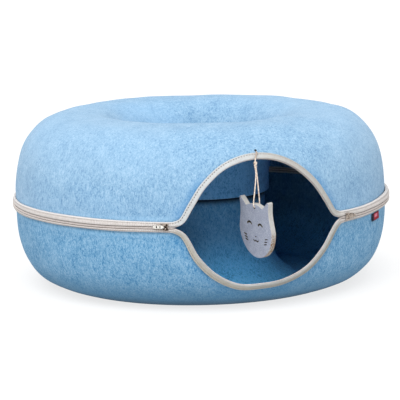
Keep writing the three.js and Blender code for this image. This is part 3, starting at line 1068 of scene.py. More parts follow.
class ClearEdge:
    """The zip's clear edge on one half: round its side of the mouth, then along the closed zip."""

    MOUTH_STEPS = 400
    CLOSED_STEP = 3.0
    OPEN_UP_TO = 122.0
    CLOSED_WITHIN = 26.0
    MIDDLE_WIDTH = 90.0
    SMOOTHED_OVER = 13

    def __init__(self, half: HalfForm, zip_line: ZipLine) -> None:
        """Samples the edge.

        Args:
            half: the half that the edge belongs to.
            zip_line: the line of the closed zip.
        """
        mouth = spaced(curve_through(np.array(half.mouth), 40, True), self.MOUTH_STEPS + 1, 2)
        start = mouth[-1, 0] / half.radius
        end = 2 * math.pi + mouth[0, 0] / half.radius
        count = int((end - start) * half.radius / self.CLOSED_STEP)
        closed = np.linspace(start, end, count + 1)[1:-1]
        self.half = half
        self.azimuth = np.concatenate([mouth[:, 0] / half.radius, closed])
        level = np.concatenate([np.maximum(0.0, mouth[:, 1]), np.zeros(len(closed))])
        self.rise = level - half.side * zip_line.below(self.azimuth)
        sideways = np.sin(self.azimuth)
        off_front = np.abs(np.arctan2(sideways, np.cos(self.azimuth))) * half.radius
        self.relief = 1.0 + zip_line.along(self.azimuth, 4)
        self.open = 1.0 - smooth_step((off_front - self.OPEN_UP_TO) / self.CLOSED_WITHIN)
        self.right = smooth_step((sideways * half.radius + self.MIDDLE_WIDTH / 2) / self.MIDDLE_WIDTH)
        width = np.concatenate([mouth[:, 2], zip_line.band(closed, half.side)])
        wrapped = np.pad(width, self.SMOOTHED_OVER // 2, mode="wrap")
        self.band = np.convolve(wrapped, np.full(self.SMOOTHED_OVER, 1 / self.SMOOTHED_OVER), mode="valid")
        self.place, self.facing = half.on_felt(self.azimuth, self.rise)
        ahead = np.roll(self.place, -1, axis=0) - np.roll(self.place, 1, axis=0)
        self.away = unit(np.cross(self.facing, ahead)) * half.side

    def beside(self, out: Array, lift: Array) -> Array:
        """Places beside the edge.

        Args:
            out: distances over the felt, one row for each place of the edge.
            lift: heights off the felt's outer face, laid out in the same way.

        Returns:
            Places with one row for each place of the edge.
        """
        half = self.half
        moved = self.place[:, None] + self.away[:, None] * out[..., None]
        azimuth = np.arctan2(moved[..., 0], -moved[..., 1])
        place, facing = half.on_felt(azimuth, half.side * (moved[..., 2] - half.zip_height))
        return place + facing * (lift * self.relief[:, None])[..., None]

    def open_at(self, azimuth: Array) -> Array:
        """How open the zip is at azimuths from -pi to pi."""
        return around(azimuth, self.place, self.open)

    def felt_start(self, azimuth: Array, inset: float) -> Array:
        """The rise at which the felt is cut.

        Args:
            azimuth: where it is wanted, from -pi to pi.
            inset: how far the felt ends from the clear edge.

        Returns:
            The rise at each azimuth.
        """
        ones = np.full((len(self.azimuth), 1), inset)
        cut = self.beside(ones, ones * 0)[:, 0]
        return around(azimuth, cut, self.half.side * (cut[:, 2] - self.half.zip_height))


@dataclass(frozen=True)
class Waviness:
    """The slight unevenness of moulded felt, as a sum of long waves."""

    height: float = 0.45
    longest: float = 150.0
    shortest: float = 45.0
    waves: int = 26
    seed: int = 11

    def at(self, places: Array) -> Array:
        """The height of the unevenness.

        Args:
            places: where it is wanted.

        Returns:
            One height for each place.
        """
        chance = np.random.default_rng(self.seed)
        directions = unit(chance.normal(size=(self.waves, 3)))
        lengths = np.exp(chance.uniform(math.log(self.shortest), math.log(self.longest), self.waves))
        starts = chance.uniform(0, 2 * math.pi, self.waves)
        total = np.zeros(places.shape[:-1])
        for direction, length, start in zip(directions, lengths, starts):
            total += np.sin(places @ direction * (2 * math.pi / length) + start)
        return total * self.height / math.sqrt(self.waves / 2)


@dataclass(frozen=True)
class FeltShell:
    """One moulded felt half: its outer wall, its crest, the wall of the hole, and the same again inside."""

    half: HalfForm
    material: Material
    inset: float = 5.0
    mouth_columns: int = 170
    other_columns: int = 250
    mouth_azimuth: float = 32.0
    outer_steps: int = 46
    hole_steps: int = 22
    past_steps: int = 4
    rounding: float = 1.2
    foot_fade: float = 22.0
    calm: float = 16.0
    hole_calm: Span = (12.0, 30.0)
    foot_calm: float = 20.0
    waviness: Waviness = Waviness()
    beyond: float = 99.0

    def columns(self) -> Array:
        """Azimuths of the columns, closer together round the mouth.

        Returns:
            The azimuths in radians, from the left of the mouth round to it again.
        """
        edge = self.mouth_azimuth * DEGREE
        front = np.linspace(-edge, edge, self.mouth_columns, endpoint=False)
        behind = np.linspace(edge, 2 * math.pi - edge, self.other_columns, endpoint=False)
        return np.concatenate([front, behind])

    def walls(self, first: Array) -> tuple[Array, Array, Array, Array]:
        """Radius, rise and the normal's two parts of the outer face, column by column.

        Args:
            first: the rise at which each column's felt is cut.

        Returns:
            Four grids, each from the cut edge over the crest and down the hole.
        """
        half = self.half
        bend = 2.0 / half.power
        start = np.sign(first) * np.arcsin((np.abs(first) / half.height) ** (1 / bend))
        share = np.linspace(0.0, 1.0, self.outer_steps)[None, :]
        angle = start[:, None] + (math.pi / 2 - start[:, None]) * share
        rise = np.sign(angle) * half.height * np.abs(np.sin(angle)) ** bend
        outer = half.wall(half.radius, rise)
        lowest = math.asin((max(0.0, -half.past_zip) / half.height) ** (1 / bend))
        inward = np.linspace(math.pi / 2, lowest, self.hole_steps)[1:]
        hole_rise = half.height * np.sin(inward) ** bend
        radius, out, rising = half.wall(half.hole, hole_rise)
        if half.past_zip > 0:
            past = -np.linspace(0.0, half.past_zip, self.past_steps + 1)[1:]
            hole_rise = np.concatenate([hole_rise, past])
            radius = np.concatenate([radius, np.full(len(past), half.hole)])
            out = np.concatenate([out, np.full(len(past), -1.0)])
            rising = np.concatenate([rising, np.zeros(len(past))])
        many = (len(first), len(hole_rise))
        joined = [
            np.concatenate([grid, np.broadcast_to(row, many)], axis=1)
            for grid, row in zip((outer[0], rise, outer[1], outer[2]), (radius, hole_rise, out, rising))
        ]
        if half.flat > 0:
            off = (np.abs(joined[0] - half.crest) - half.flat) / self.foot_fade
            foot = (1.0 - smooth_step(off)) * (joined[1] > half.height * 0.5)
            joined[1] = joined[1] + (half.height - joined[1]) * foot
        return joined[0], joined[1], joined[2], joined[3]

    def build(self, edge: ClearEdge, axis_y: float) -> Piece:
        """Builds the half.

        Args:
            edge: the clear edge of its zip, which its cut edge follows.
            axis_y: y of the ring's axis.

        Returns:
            The piece.
        """
        half = self.half
        azimuth = self.columns()
        wrapped = np.arctan2(np.sin(azimuth), np.cos(azimuth))
        first = edge.felt_start(wrapped, self.inset) + self.rounding
        radius, rise, out, rising = self.walls(first)
        turns = azimuth[:, None]
        past_cut = rise - first[:, None]
        in_hole = np.arange(radius.shape[1]) >= self.outer_steps
        hole_room = smooth_step((rise - self.hole_calm[0]) / self.hole_calm[1])
        room = np.where(in_hole[None, :], hole_room, smooth_step(past_cut / self.calm))
        ground = smooth_step((half.height - rise) / self.foot_calm) if half.flat > 0 else 1.0
        nominal = half.turned(turns, radius, half.zip_height + half.side * rise)
        wave = self.waviness.at(nominal) * room * ground
        outside = np.stack([radius + out * wave, rise + rising * wave], axis=-1)
        normal = np.stack([out, rising], axis=-1)
        inside = outside - normal * half.felt
        end_lip, first_lip = self.lip(outside[:, -1], normal[:, -1]), self.lip(inside[:, 0], -normal[:, 0])
        section = np.concatenate([outside, end_lip, inside[:, ::-1], first_lip], axis=1)
        places = half.turned(turns, section[..., 0], half.zip_height + half.side * section[..., 1])
        form = Form()
        form.add(places, grid_faces(places.shape[0], places.shape[1], True, True))
        outer = slice(0, outside.shape[1])
        start = outer.stop + end_lip.shape[1]
        inner = slice(start, start + outer.stop)
        marks = np.zeros((*section.shape[:2], 4))
        marks[:, inner, 0] = 1.0
        marks[:, outer, 1] = in_hole
        marks[:, inner, 1] = in_hole[::-1]
        marks[..., 2] = self.beyond
        marks[:, outer, 2] = np.where(in_hole, self.beyond, past_cut)
        marks[..., 3] = edge.open_at(wrapped)[:, None]
        form.layouts = {"sides": face_corners(marks[..., :2]), "edge": face_corners(marks[..., 2:])}
        return form.piece(f"{half.name}_felt", [self.material], axis_y)

    def lip(self, ends: Array, normals: Array) -> Array:
        """A rounded edge from the face that ends here to the other face.

        Args:
            ends: last places of the face, as radius and rise.
            normals: the way that face looks at each of them.

        Returns:
            Places between the two faces.
        """
        middle = ends - normals * self.half.felt / 2
        ahead = np.stack([normals[:, 1], -normals[:, 0]], axis=-1)
        ahead = np.where(ahead[:, 1:] > 0, -ahead, ahead)
        parts = []
        for turn in np.linspace(0, math.pi, 6)[1:-1]:
            off, on = self.half.felt / 2 * math.cos(turn), self.rounding * math.sin(turn)
            parts.append(middle + normals * off + ahead * on)
        return np.stack(parts, axis=1)


@dataclass(frozen=True)
class RowOfShapes:
    """One small rounded shape that Geometry Nodes set again and again along a closed line."""

    length: float
    width: float
    height: float
    spacing: float
    sides: int = 8
    rings: int = 5
    variation: float = 0.08
    seed: int = 3

    def tree(self) -> bpy.types.NodeTree:
        """Builds the tree, which divides the line evenly and sets a shape on each place, facing outwards.

        Returns:
            The tree, with named inputs.
        """
        group = bpy.data.node_groups.new("row_of_shapes", "GeometryNodeTree")
        face = group.interface
        face.new_socket("Geometry", in_out="INPUT", socket_type="NodeSocketGeometry")
        for name in ("Length", "Width", "Height", "Variation"):
            face.new_socket(name, in_out="INPUT", socket_type="NodeSocketFloat")
        for name in ("Count", "Seed"):
            face.new_socket(name, in_out="INPUT", socket_type="NodeSocketInt")
        face.new_socket("Material", in_out="INPUT", socket_type="NodeSocketMaterial")
        face.new_socket("Geometry", in_out="OUTPUT", socket_type="NodeSocketGeometry")
        nodes = Tree(group)
        given = nodes.node("NodeGroupInput").socket.node
        take = {socket.name: Value(nodes, socket) for socket in given.outputs if socket.name}
        line = nodes.node("GeometryNodeMeshToCurve", {}, {"Mesh": take["Geometry"]})
        evenly = {"Curve": line, "Count": take["Count"]}
        even = nodes.node("GeometryNodeResampleCurve", {"mode": "COUNT"}, evenly)
        vector = {"data_type": "FLOAT_VECTOR"}
        facing = nodes.node("GeometryNodeInputNamedAttribute", vector, {"Name": "facing"})
        tangent = nodes.node("GeometryNodeInputTangent")
        turn = nodes.node(
            "FunctionNodeAxesToRotation",
            {"primary_axis": "Z", "secondary_axis": "X"},
            {"Primary Axis": facing, "Secondary Axis": tangent},
        )
        coarse = {"Segments": self.sides, "Rings": self.rings, "Radius": 0.5}
        ball = nodes.node("GeometryNodeMeshUVSphere", {}, coarse)
        size = {"X": take["Length"], "Y": take["Width"], "Z": take["Height"]}
        sizes = nodes.node("ShaderNodeCombineXYZ", {}, size)
        shape = nodes.node("GeometryNodeTransform", {}, {"Geometry": ball, "Scale": sizes})
        chance = nodes.node(
            "FunctionNodeRandomValue",
            {"data_type": "FLOAT"},
            {2: 1.0 - take["Variation"], 3: take["Variation"] + 1.0, "Seed": take["Seed"]},
            out=1,
        )
        scale = nodes.node("ShaderNodeCombineXYZ", {}, {"X": chance, "Y": chance, "Z": chance})
        placed = {"Points": even, "Instance": shape, "Rotation": turn, "Scale": scale}
        row = nodes.node("GeometryNodeInstanceOnPoints", {}, placed)
        solid = nodes.node("GeometryNodeRealizeInstances", {}, {"Geometry": row})
        wear_and_shade = {"Geometry": solid, "Material": take["Material"]}
        dressed = nodes.node("GeometryNodeSetMaterial", {}, wear_and_shade)
        nodes.node("NodeGroupOutput", {}, {"Geometry": dressed})
        return group

    def mesh(self, line: Array, facing: Array, material: Material) -> tuple[bpy.types.Mesh, int]:
        """Runs the tree along a line.

        Args:
            line: places of the closed line.
            facing: the outward direction at each of them.
            material: what the shapes wear.

        Returns:
            The shapes as one plain mesh in metres, and how many there are.
        """
        length = float(np.linalg.norm(np.roll(line, -1, axis=0) - line, axis=1).sum())
        count = round(length / self.spacing)
        carrier = bpy.data.meshes.new("carrier")
        carrier.from_pydata((line * MM).tolist(), [(i, (i + 1) % len(line)) for i in range(len(line))], [])
        carrier.attributes.new("facing", "FLOAT_VECTOR", "POINT").data.foreach_set("vector", facing.ravel())
        holder = linked("carrier", carrier)
        modifier = holder.modifiers.new("row", "NODES")
        group = self.tree()
        modifier.node_group = group
        sizes = {
            "Length": self.length * MM,
            "Width": self.width * MM,
            "Height": self.height * MM,
            "Variation": self.variation,
            "Count": count,
            "Seed": self.seed,
            "Material": material,
        }
        for socket in group.interface.items_tree:
            if socket.in_out == "INPUT" and socket.name in sizes:
                modifier[socket.identifier] = sizes[socket.name]
        return final_mesh(holder), count


@dataclass(frozen=True)
class ZipSide:
    """One side of the zip: its tape, the coil on its clear edge, and the row that sews it to the felt.

    A row of the tape's profile holds the distance out, the share of the way on to the band's outer edge and
    the lift, all where the zip is closed, and then the distance out and the lift round the mouth.
    """

    half: HalfForm
    tape_material: Material
    coil_material: Material
    thread_material: Material
    stitch_share: float = 0.57
    stitch_lift: float = 3.95
    hump: float = 2.7
    crown: int = 15
    coil: RowOfShapes = RowOfShapes(length=1.7, width=1.25, height=1.9, spacing=2.05)
    stitch: RowOfShapes = RowOfShapes(
        length=2.5, width=0.8, height=0.6, spacing=4.4, sides=6, rings=4, variation=0.1, seed=5
    )
    cord_out: Span = (0.66, -0.22)
    cord_lift: Span = (4.5, -1.9)
    cord_drop: float = 0.2
    cord_half: Span = (0.42, 0.7)
    cord_sides: int = 8
    profile: tuple[tuple[float, float, float, float, float], ...] = (
        (0.55, 0.00, 0.75, 1.30, 0.75), (0.25, 0.00, 1.30, 1.15, 1.20), (0.22, 0.00, 2.30, 1.05, 2.20),
        (0.45, 0.00, 3.00, 0.95, 3.30), (0.90, 0.00, 3.10, 0.45, 3.50), (1.50, 0.00, 3.00, 0.20, 4.10),
        (1.95, 0.00, 3.10, 0.30, 4.75), (2.15, 0.00, 3.90, 0.75, 5.20), (2.30, 0.00, 4.70, 1.50, 5.40),
        (2.70, 0.00, 5.15, 2.30, 5.35), (2.70, 0.12, 5.35, 2.70, 5.10), (2.70, 0.28, 5.30, 2.70, 4.95),
        (2.70, 0.42, 5.05, 2.70, 4.85), (2.70, 0.53, 4.60, 2.70, 4.50), (2.70, 0.60, 4.10, 2.70, 4.10),
        (2.70, 0.66, 3.80, 2.70, 3.80), (2.70, 0.72, 4.05, 2.70, 4.05), (2.70, 0.78, 4.30, 2.70, 4.30),
        (2.70, 0.86, 4.10, 2.70, 4.10), (2.70, 0.93, 3.20, 2.70, 3.20), (2.70, 0.98, 2.10, 2.70, 2.10),
        (2.70, 1.00, 1.30, 2.70, 1.30), (2.70, 0.99, 0.85, 2.70, 0.85), (2.70, 0.90, 0.65, 2.70, 0.65),
        (2.70, 0.40, 0.65, 2.70, 0.65), (2.00, 0.00, 0.65, 2.00, 0.65),
    )

    def section(self, opened: Array) -> tuple[Array, Array, Array]:
        """The tape's section at every place of the edge.

        Args:
            opened: 0 where the zip is closed, rising to 1 round the mouth, where the tape folds over.

        Returns:
            Distance out, share of the way on to the outer edge, and lift, each with a row for each place.
        """
        rows = np.array(self.profile)
        share = opened[:, None]
        out = rows[:, 0] * (1.0 - share) + rows[:, 3] * share
        lift = rows[:, 2] * (1.0 - share) + rows[:, 4] * share
        return out, np.broadcast_to(rows[:, 1], out.shape), lift

    def build(self, edge: ClearEdge, axis_y: float) -> list[Piece]:
        """Builds the tape, the coil and the sewn row.

        Args:
            edge: the clear edge that they follow.
            axis_y: y of the ring's axis.

        Returns:
            Tape, coil and stitches.
        """
        name = self.half.name
        stitches, count = self.sewn_row(edge)
        sewn = Form()
        sewn.add_mesh(stitches)
        return [
            self.tape(edge, count).piece(f"{name}_tape_woven", [self.tape_material], axis_y),
            self.coil_form(edge).piece(f"{name}_coil_nylon", [self.coil_material], axis_y),
            sewn.piece(f"{name}_stitches", [self.thread_material], axis_y),
        ]

    def tape(self, edge: ClearEdge, stitches: int) -> Form:
        """Builds the tape.

        Args:
            edge: the clear edge that it follows.
            stitches: how many stitches sew it on.

        Returns:
            The tape, with layouts along and across it, of its stitches, and of where it is open.
        """
        inner, share, lift = self.section(edge.open)
        out = inner + share * (edge.band[:, None] - inner)
        places = edge.beside(out, lift)
        form = Form()
        form.add(places, grid_faces(places.shape[0], places.shape[1], True, True))
        middle = places[:, self.crown]
        along = lengths_along(np.concatenate([middle, middle[:1]]))[:, None]
        start, end = (np.broadcast_to(ends, out.shape) for ends in (along[:-1], along[1:]))
        per_mm = stitches / along[-1, 0]
        opened = np.stack([edge.open, edge.right], axis=-1)[:, None]
        further = np.roll(out, -1, axis=0)
        form.layouts = {
            "cloth": row_corners(np.stack([start, out], axis=-1), np.stack([end, further], axis=-1)),
            "sewn": row_corners(
                np.stack([start * per_mm, share], axis=-1), np.stack([end * per_mm, share], axis=-1)
            ),
            "opened": face_corners(np.broadcast_to(opened, (*out.shape, 2))),
        }
        return form

    def sewn_row(self, edge: ClearEdge) -> tuple[bpy.types.Mesh, int]:
        """Sets the stitches along the tape.

        Args:
            edge: the clear edge that they follow.

        Returns:
            The stitches as one mesh, and how many there are.
        """
        out = (self.hump + self.stitch_share * (edge.band - self.hump))[:, None]
        line = edge.beside(out, np.full_like(out, self.stitch_lift))[:, 0]
        base = edge.beside(out, np.full_like(out, self.stitch_lift - 1.0))[:, 0]
        return self.stitch.mesh(line, unit(line - base), self.thread_material)

    def coil_form(self, edge: ClearEdge) -> Form:
        """Builds the coil: a cord on the clear edge with a tooth on it at each turn.

        Args:
            edge: the clear edge.

        Returns:
            The coil.
        """
        opened = edge.open[:, None]
        out = self.cord_out[0] + self.cord_out[1] * opened
        lift = self.cord_lift[0] + self.cord_lift[1] * opened
        line = edge.beside(out, lift)[:, 0]
        teeth, _ = self.coil.mesh(line, unit(line - edge.beside(out, lift - 1.0)[:, 0]), self.coil_material)
        form = Form()
        form.add_mesh(teeth)
        turns = np.arange(self.cord_sides) * 2 * math.pi / self.cord_sides
        wide, high = self.cord_half
        places = edge.beside(out + wide * np.cos(turns), lift - self.cord_drop + high * np.sin(turns))
        form.add(places, grid_faces(places.shape[0], self.cord_sides, True, True))
        return form


@dataclass(frozen=True)
class CutPlate:
    """A flat plate cut from an outline, with rounded edges and holes."""

    thick: float
    bevel: float
    steps: int = 2

    def mesh(self, outlines: list[Array]) -> bpy.types.Mesh:
        """Cuts the plate, centred on z = 0.

        Args:
            outlines: the outer outline and then its holes, as rows of x and y.

        Returns:
            The plate in the outlines' units.
        """
        curve = bpy.data.curves.new("cut", "CURVE")
        curve.dimensions = "2D"
        curve.fill_mode = "BOTH"
        curve.extrude = self.thick / 2 - self.bevel
        curve.bevel_depth = self.bevel
        curve.bevel_resolution = self.steps
        curve.offset = -self.bevel
        for outline in outlines:
            line = curve.splines.new("POLY")
            line.points.add(len(outline) - 1)
            line.points.foreach_set("co", [c for x, y in outline for c in (x, y, 0.0, 1.0)])
            line.use_cyclic_u = True
        plate = final_mesh(linked("cut", curve))
        work = bmesh.new()
        work.from_mesh(plate)
        bmesh.ops.remove_doubles(work, verts=work.verts, dist=1e-4)
        work.to_mesh(plate)
        work.free()
        return plate


def facing_out(azimuth: float, place: Array) -> Matrix:
    """A frame for someone who faces the ring.

    Args:
        azimuth: where they stand round it, in radians.
        place: the frame's origin.

    Returns:
        The frame, whose x runs right, y up and z outwards.
    """
    right = Vector((math.cos(azimuth), math.sin(azimuth), 0.0))
    outward = Vector((math.sin(azimuth), -math.cos(azimuth), 0.0))
    turn = Matrix((right, Vector((0.0, 0.0, 1.0)), outward)).transposed().to_4x4()
    return Matrix.Translation(Vector([float(c) for c in place])) @ turn


def window(near: float, far: float, half: float) -> Array:
    """The corners of a rectangle that lies evenly to both sides of the x axis."""
    return np.array([(near, -half), (far, -half), (far, half), (near, half)])


class Hand(Enum):
    """Which corner of the mouth a slider stands at, with the way from it to the mouth."""

    LEFT = 1
    RIGHT = -1


@dataclass(frozen=True)
class ZipSlider:
    """A slider body with its arch, and the pull that lies back along the closed zip."""

    hand: Hand
    material: Material
    # The dark finish is painted shade under the wells and on the bar; the bright one is a painted highlight
    # on the arch and pull.
    dark: Material
    bright: Material
    azimuth: float
    raised: float
    base: float = 6.2
    plate: float = 1.3
    liner: float = 0.5
    liner_share: float = 0.9
    sunk: float = 0.3
    bar_sunk: float = 0.1
    bevel: float = 0.3
    liner_bevel: float = 0.1
    gap: float = 0.3
    outline: tuple[Span, ...] = (
        (-9.0, 2.6), (-8.5, 3.6), (-7.2, 4.1), (-4.4, 4.3), (-1.6, 4.7), (1.0, 5.5),
        (3.6, 6.1), (6.6, 6.2), (8.3, 5.7), (8.8, 4.6), (8.2, 2.4), (7.4, 0.8),
    )
    wells: tuple[Place, ...] = (
        (5.9, 3.0, 1.5), (3.6, -3.0, 1.2), (-4.9, 2.8, 0.9),
        (-1.6, 3.3, 0.9), (-4.2, -2.8, 1.0), (-0.6, -3.4, 0.8),
    )
    well_sides: int = 14
    bar: Place = (-10.3, -8.3, 3.3)
    arch: tuple[Span, ...] = (
        (-3.4, 7.2), (-3.2, 8.5), (-2.5, 9.5), (-1.4, 9.9), (0.1, 9.9), (1.2, 9.5), (1.9, 8.5), (2.0, 7.2),
    )
    arch_half: float = 1.4
    arch_thick: float = 0.9
    arch_sides: int = 12
    arch_round: Span = (0.5, 0.6)
    pull: tuple[Span, ...] = (
        (-0.2, 2.2), (-0.9, 2.7), (-4.6, 2.7), (-6.6, 2.3),
        (-8.4, 2.6), (-10.6, 2.6), (-13.6, 2.1), (-14.6, 1.2),
    )
    pull_slot: Place = (-1.6, -4.5, 1.7)
    pull_eye: Place = (-8.4, -10.1, 1.9)
    pull_thick: float = 0.9
    pull_bevel: float = 0.22

    def frame(self, half: HalfForm, zip_line: ZipLine) -> Matrix:
        """Where the slider stands on the zip line.

        Args:
            half: the half whose wall it stands on.
            zip_line: the line of the closed zip.

        Returns:
            Its frame.
        """
        azimuth = -self.hand.value * self.azimuth * DEGREE
        turn = np.array(azimuth)
        place, _ = half.on_felt(turn, self.raised - zip_line.below(turn))
        return facing_out(azimuth, place)

    def body(self) -> Form:
        """Makes the cover plate, the liner under it and the bar, both in painted shade, and the arch.

        Returns:
            The body in its own frame.
        """
        toward = self.hand.value
        edge = curve_through(np.array(self.outline), 3, True)
        outline = np.concatenate([edge, edge[::-1] * (1, -1)]) * (toward, 1)
        turns = np.arange(self.well_sides) * 2 * math.pi / self.well_sides
        wells = [
            np.stack([toward * (x + r * np.cos(turns)), y + r * np.sin(turns)], axis=-1)
            for x, y, r in self.wells
        ]
        cover = CutPlate(self.plate, self.bevel, 3).mesh([outline, *wells])
        thin = CutPlate(self.liner, self.liner_bevel, 1)
        under = thin.mesh([outline * self.liner_share])
        bar = thin.mesh([window(*self.bar) * (toward, 1)])
        form = Form()
        form.add_mesh(cover, Matrix.Translation((0, 0, self.base + self.plate / 2)))
        form.add_mesh(under, Matrix.Translation((0, 0, self.base - self.sunk)), 1)
        form.add_mesh(bar, Matrix.Translation((0, 0, self.base + self.plate - self.bar_sunk)), 1)
        line = curve_through(np.array([(toward * x, 0.0, z) for x, z in self.arch]), 4, False)
        # The arch wears the bright finish, a painted highlight.
        form.add(*self.strap(line), 2)
        return form

    def strap(self, line: Array) -> tuple[Array, Faces]:
        """The arch as a flat strap with rounded edges.

        Args:
            line: its middle line, in the x and z plane.

        Returns:
            Its points and faces.
        """
        ahead = unit(np.gradient(line, axis=0))
        up = np.stack([-ahead[:, 2], ahead[:, 1], ahead[:, 0]], axis=-1)
        turns = np.arange(self.arch_sides) * 2 * math.pi / self.arch_sides + math.pi / self.arch_sides
        wide, high = self.arch_round
        flat = np.sign(np.cos(turns)) * np.abs(np.cos(turns)) ** wide * self.arch_half
        thick = np.sign(np.sin(turns)) * np.abs(np.sin(turns)) ** high * self.arch_thick / 2
        sideways = np.array([0.0, 1.0, 0.0])
        points = line[:, None] + sideways * flat[None, :, None] + up[:, None] * thick[None, :, None]
        return points, capped(len(line), self.arch_sides)

    def tab(self) -> bpy.types.Mesh:
        """Cuts the pull tab, slotted over the arch and pierced at its free end.

        Returns:
            The tab, which lies along x.
        """
        outline = np.array(self.pull + tuple((x, -y) for x, y in reversed(self.pull)))
        lines = [outline, window(*self.pull_slot), window(*self.pull_eye)]
        lines = [line * (self.hand.value, 1) for line in lines]
        return CutPlate(self.pull_thick, self.pull_bevel, 2).mesh(lines)

    def build(self, half: HalfForm, zip_line: ZipLine, axis_y: float) -> list[Piece]:
        """Builds the slider.

        Args:
            half: the half whose wall it stands on.
            zip_line: the line of the closed zip.
            axis_y: y of the ring's axis.

        Returns:
            Its body and its pull.
        """
        side = self.hand.name.lower()
        stand = self.frame(half, zip_line)
        body = self.body()
        points = np.concatenate(body.points).tolist()
        turned = Form()
        turned.add(np.array([tuple(stand @ Vector(point)) for point in points]), body.faces)
        turned.slots = body.slots
        height = self.base + self.plate + self.gap + self.pull_thick / 2
        pull = Form()
        pull.add_mesh(self.tab(), stand @ Matrix.Translation((0, 0, height)))
        return [
            turned.piece(f"slider_{side}_nickel", [self.material, self.dark, self.bright], axis_y),
            pull.piece(f"pull_{side}_nickel", [self.bright], axis_y, smooth=False),
        ]


@dataclass(frozen=True)
class SewnLabel:
    """The small woven label under the lower tape, right of the mouth."""

    material: Material
    azimuth: float = 48.0
    width: float = 32.0
    top: float = 9.4
    height: float = 11.6
    thick: float = 0.8
    stand: float = 0.5
    curl: float = 0.7
    ripple: float = 0.12
    ripple_turn: float = 7.0
    columns: int = 25
    rows: int = 9

    def build(self, half: HalfForm, zip_line: ZipLine, axis_y: float) -> Piece:
        """Builds the label as a thin strip that stands off a little at its free edge.

        Args:
            half: the half that it lies on.
            zip_line: the line of the closed zip.
            axis_y: y of the ring's axis.

        Returns:
            The label.
        """
        turn = self.azimuth * DEGREE + (np.linspace(-0.5, 0.5, self.columns) * self.width) / half.radius
        down = np.linspace(0.0, 1.0, self.rows)
        rise = self.top + self.height * down[None, :] + zip_line.below(turn)[:, None]
        place, facing = half.on_felt(np.broadcast_to(turn[:, None], rise.shape), rise)
        ripple = self.ripple * np.sin(np.linspace(0, self.ripple_turn, self.columns))[:, None]
        lift = self.stand + self.curl * down[None, :] ** 2 + ripple
        front = place + facing * (lift + self.thick)[..., None]
        behind = place + facing * lift[..., None]
        section = np.concatenate([front, behind[:, ::-1]], axis=1)
        faces = capped(section.shape[0], section.shape[1])
        form = Form()
        form.add(section, faces)
        across = np.concatenate([down, down[::-1]])
        shares = [(i / (self.columns - 1), share) for i in range(self.columns) for share in across]
        form.layouts = {"cloth": np.array([shares[corner] for face in faces for corner in face])}
        return form.piece("label_woven", [self.material], axis_y)


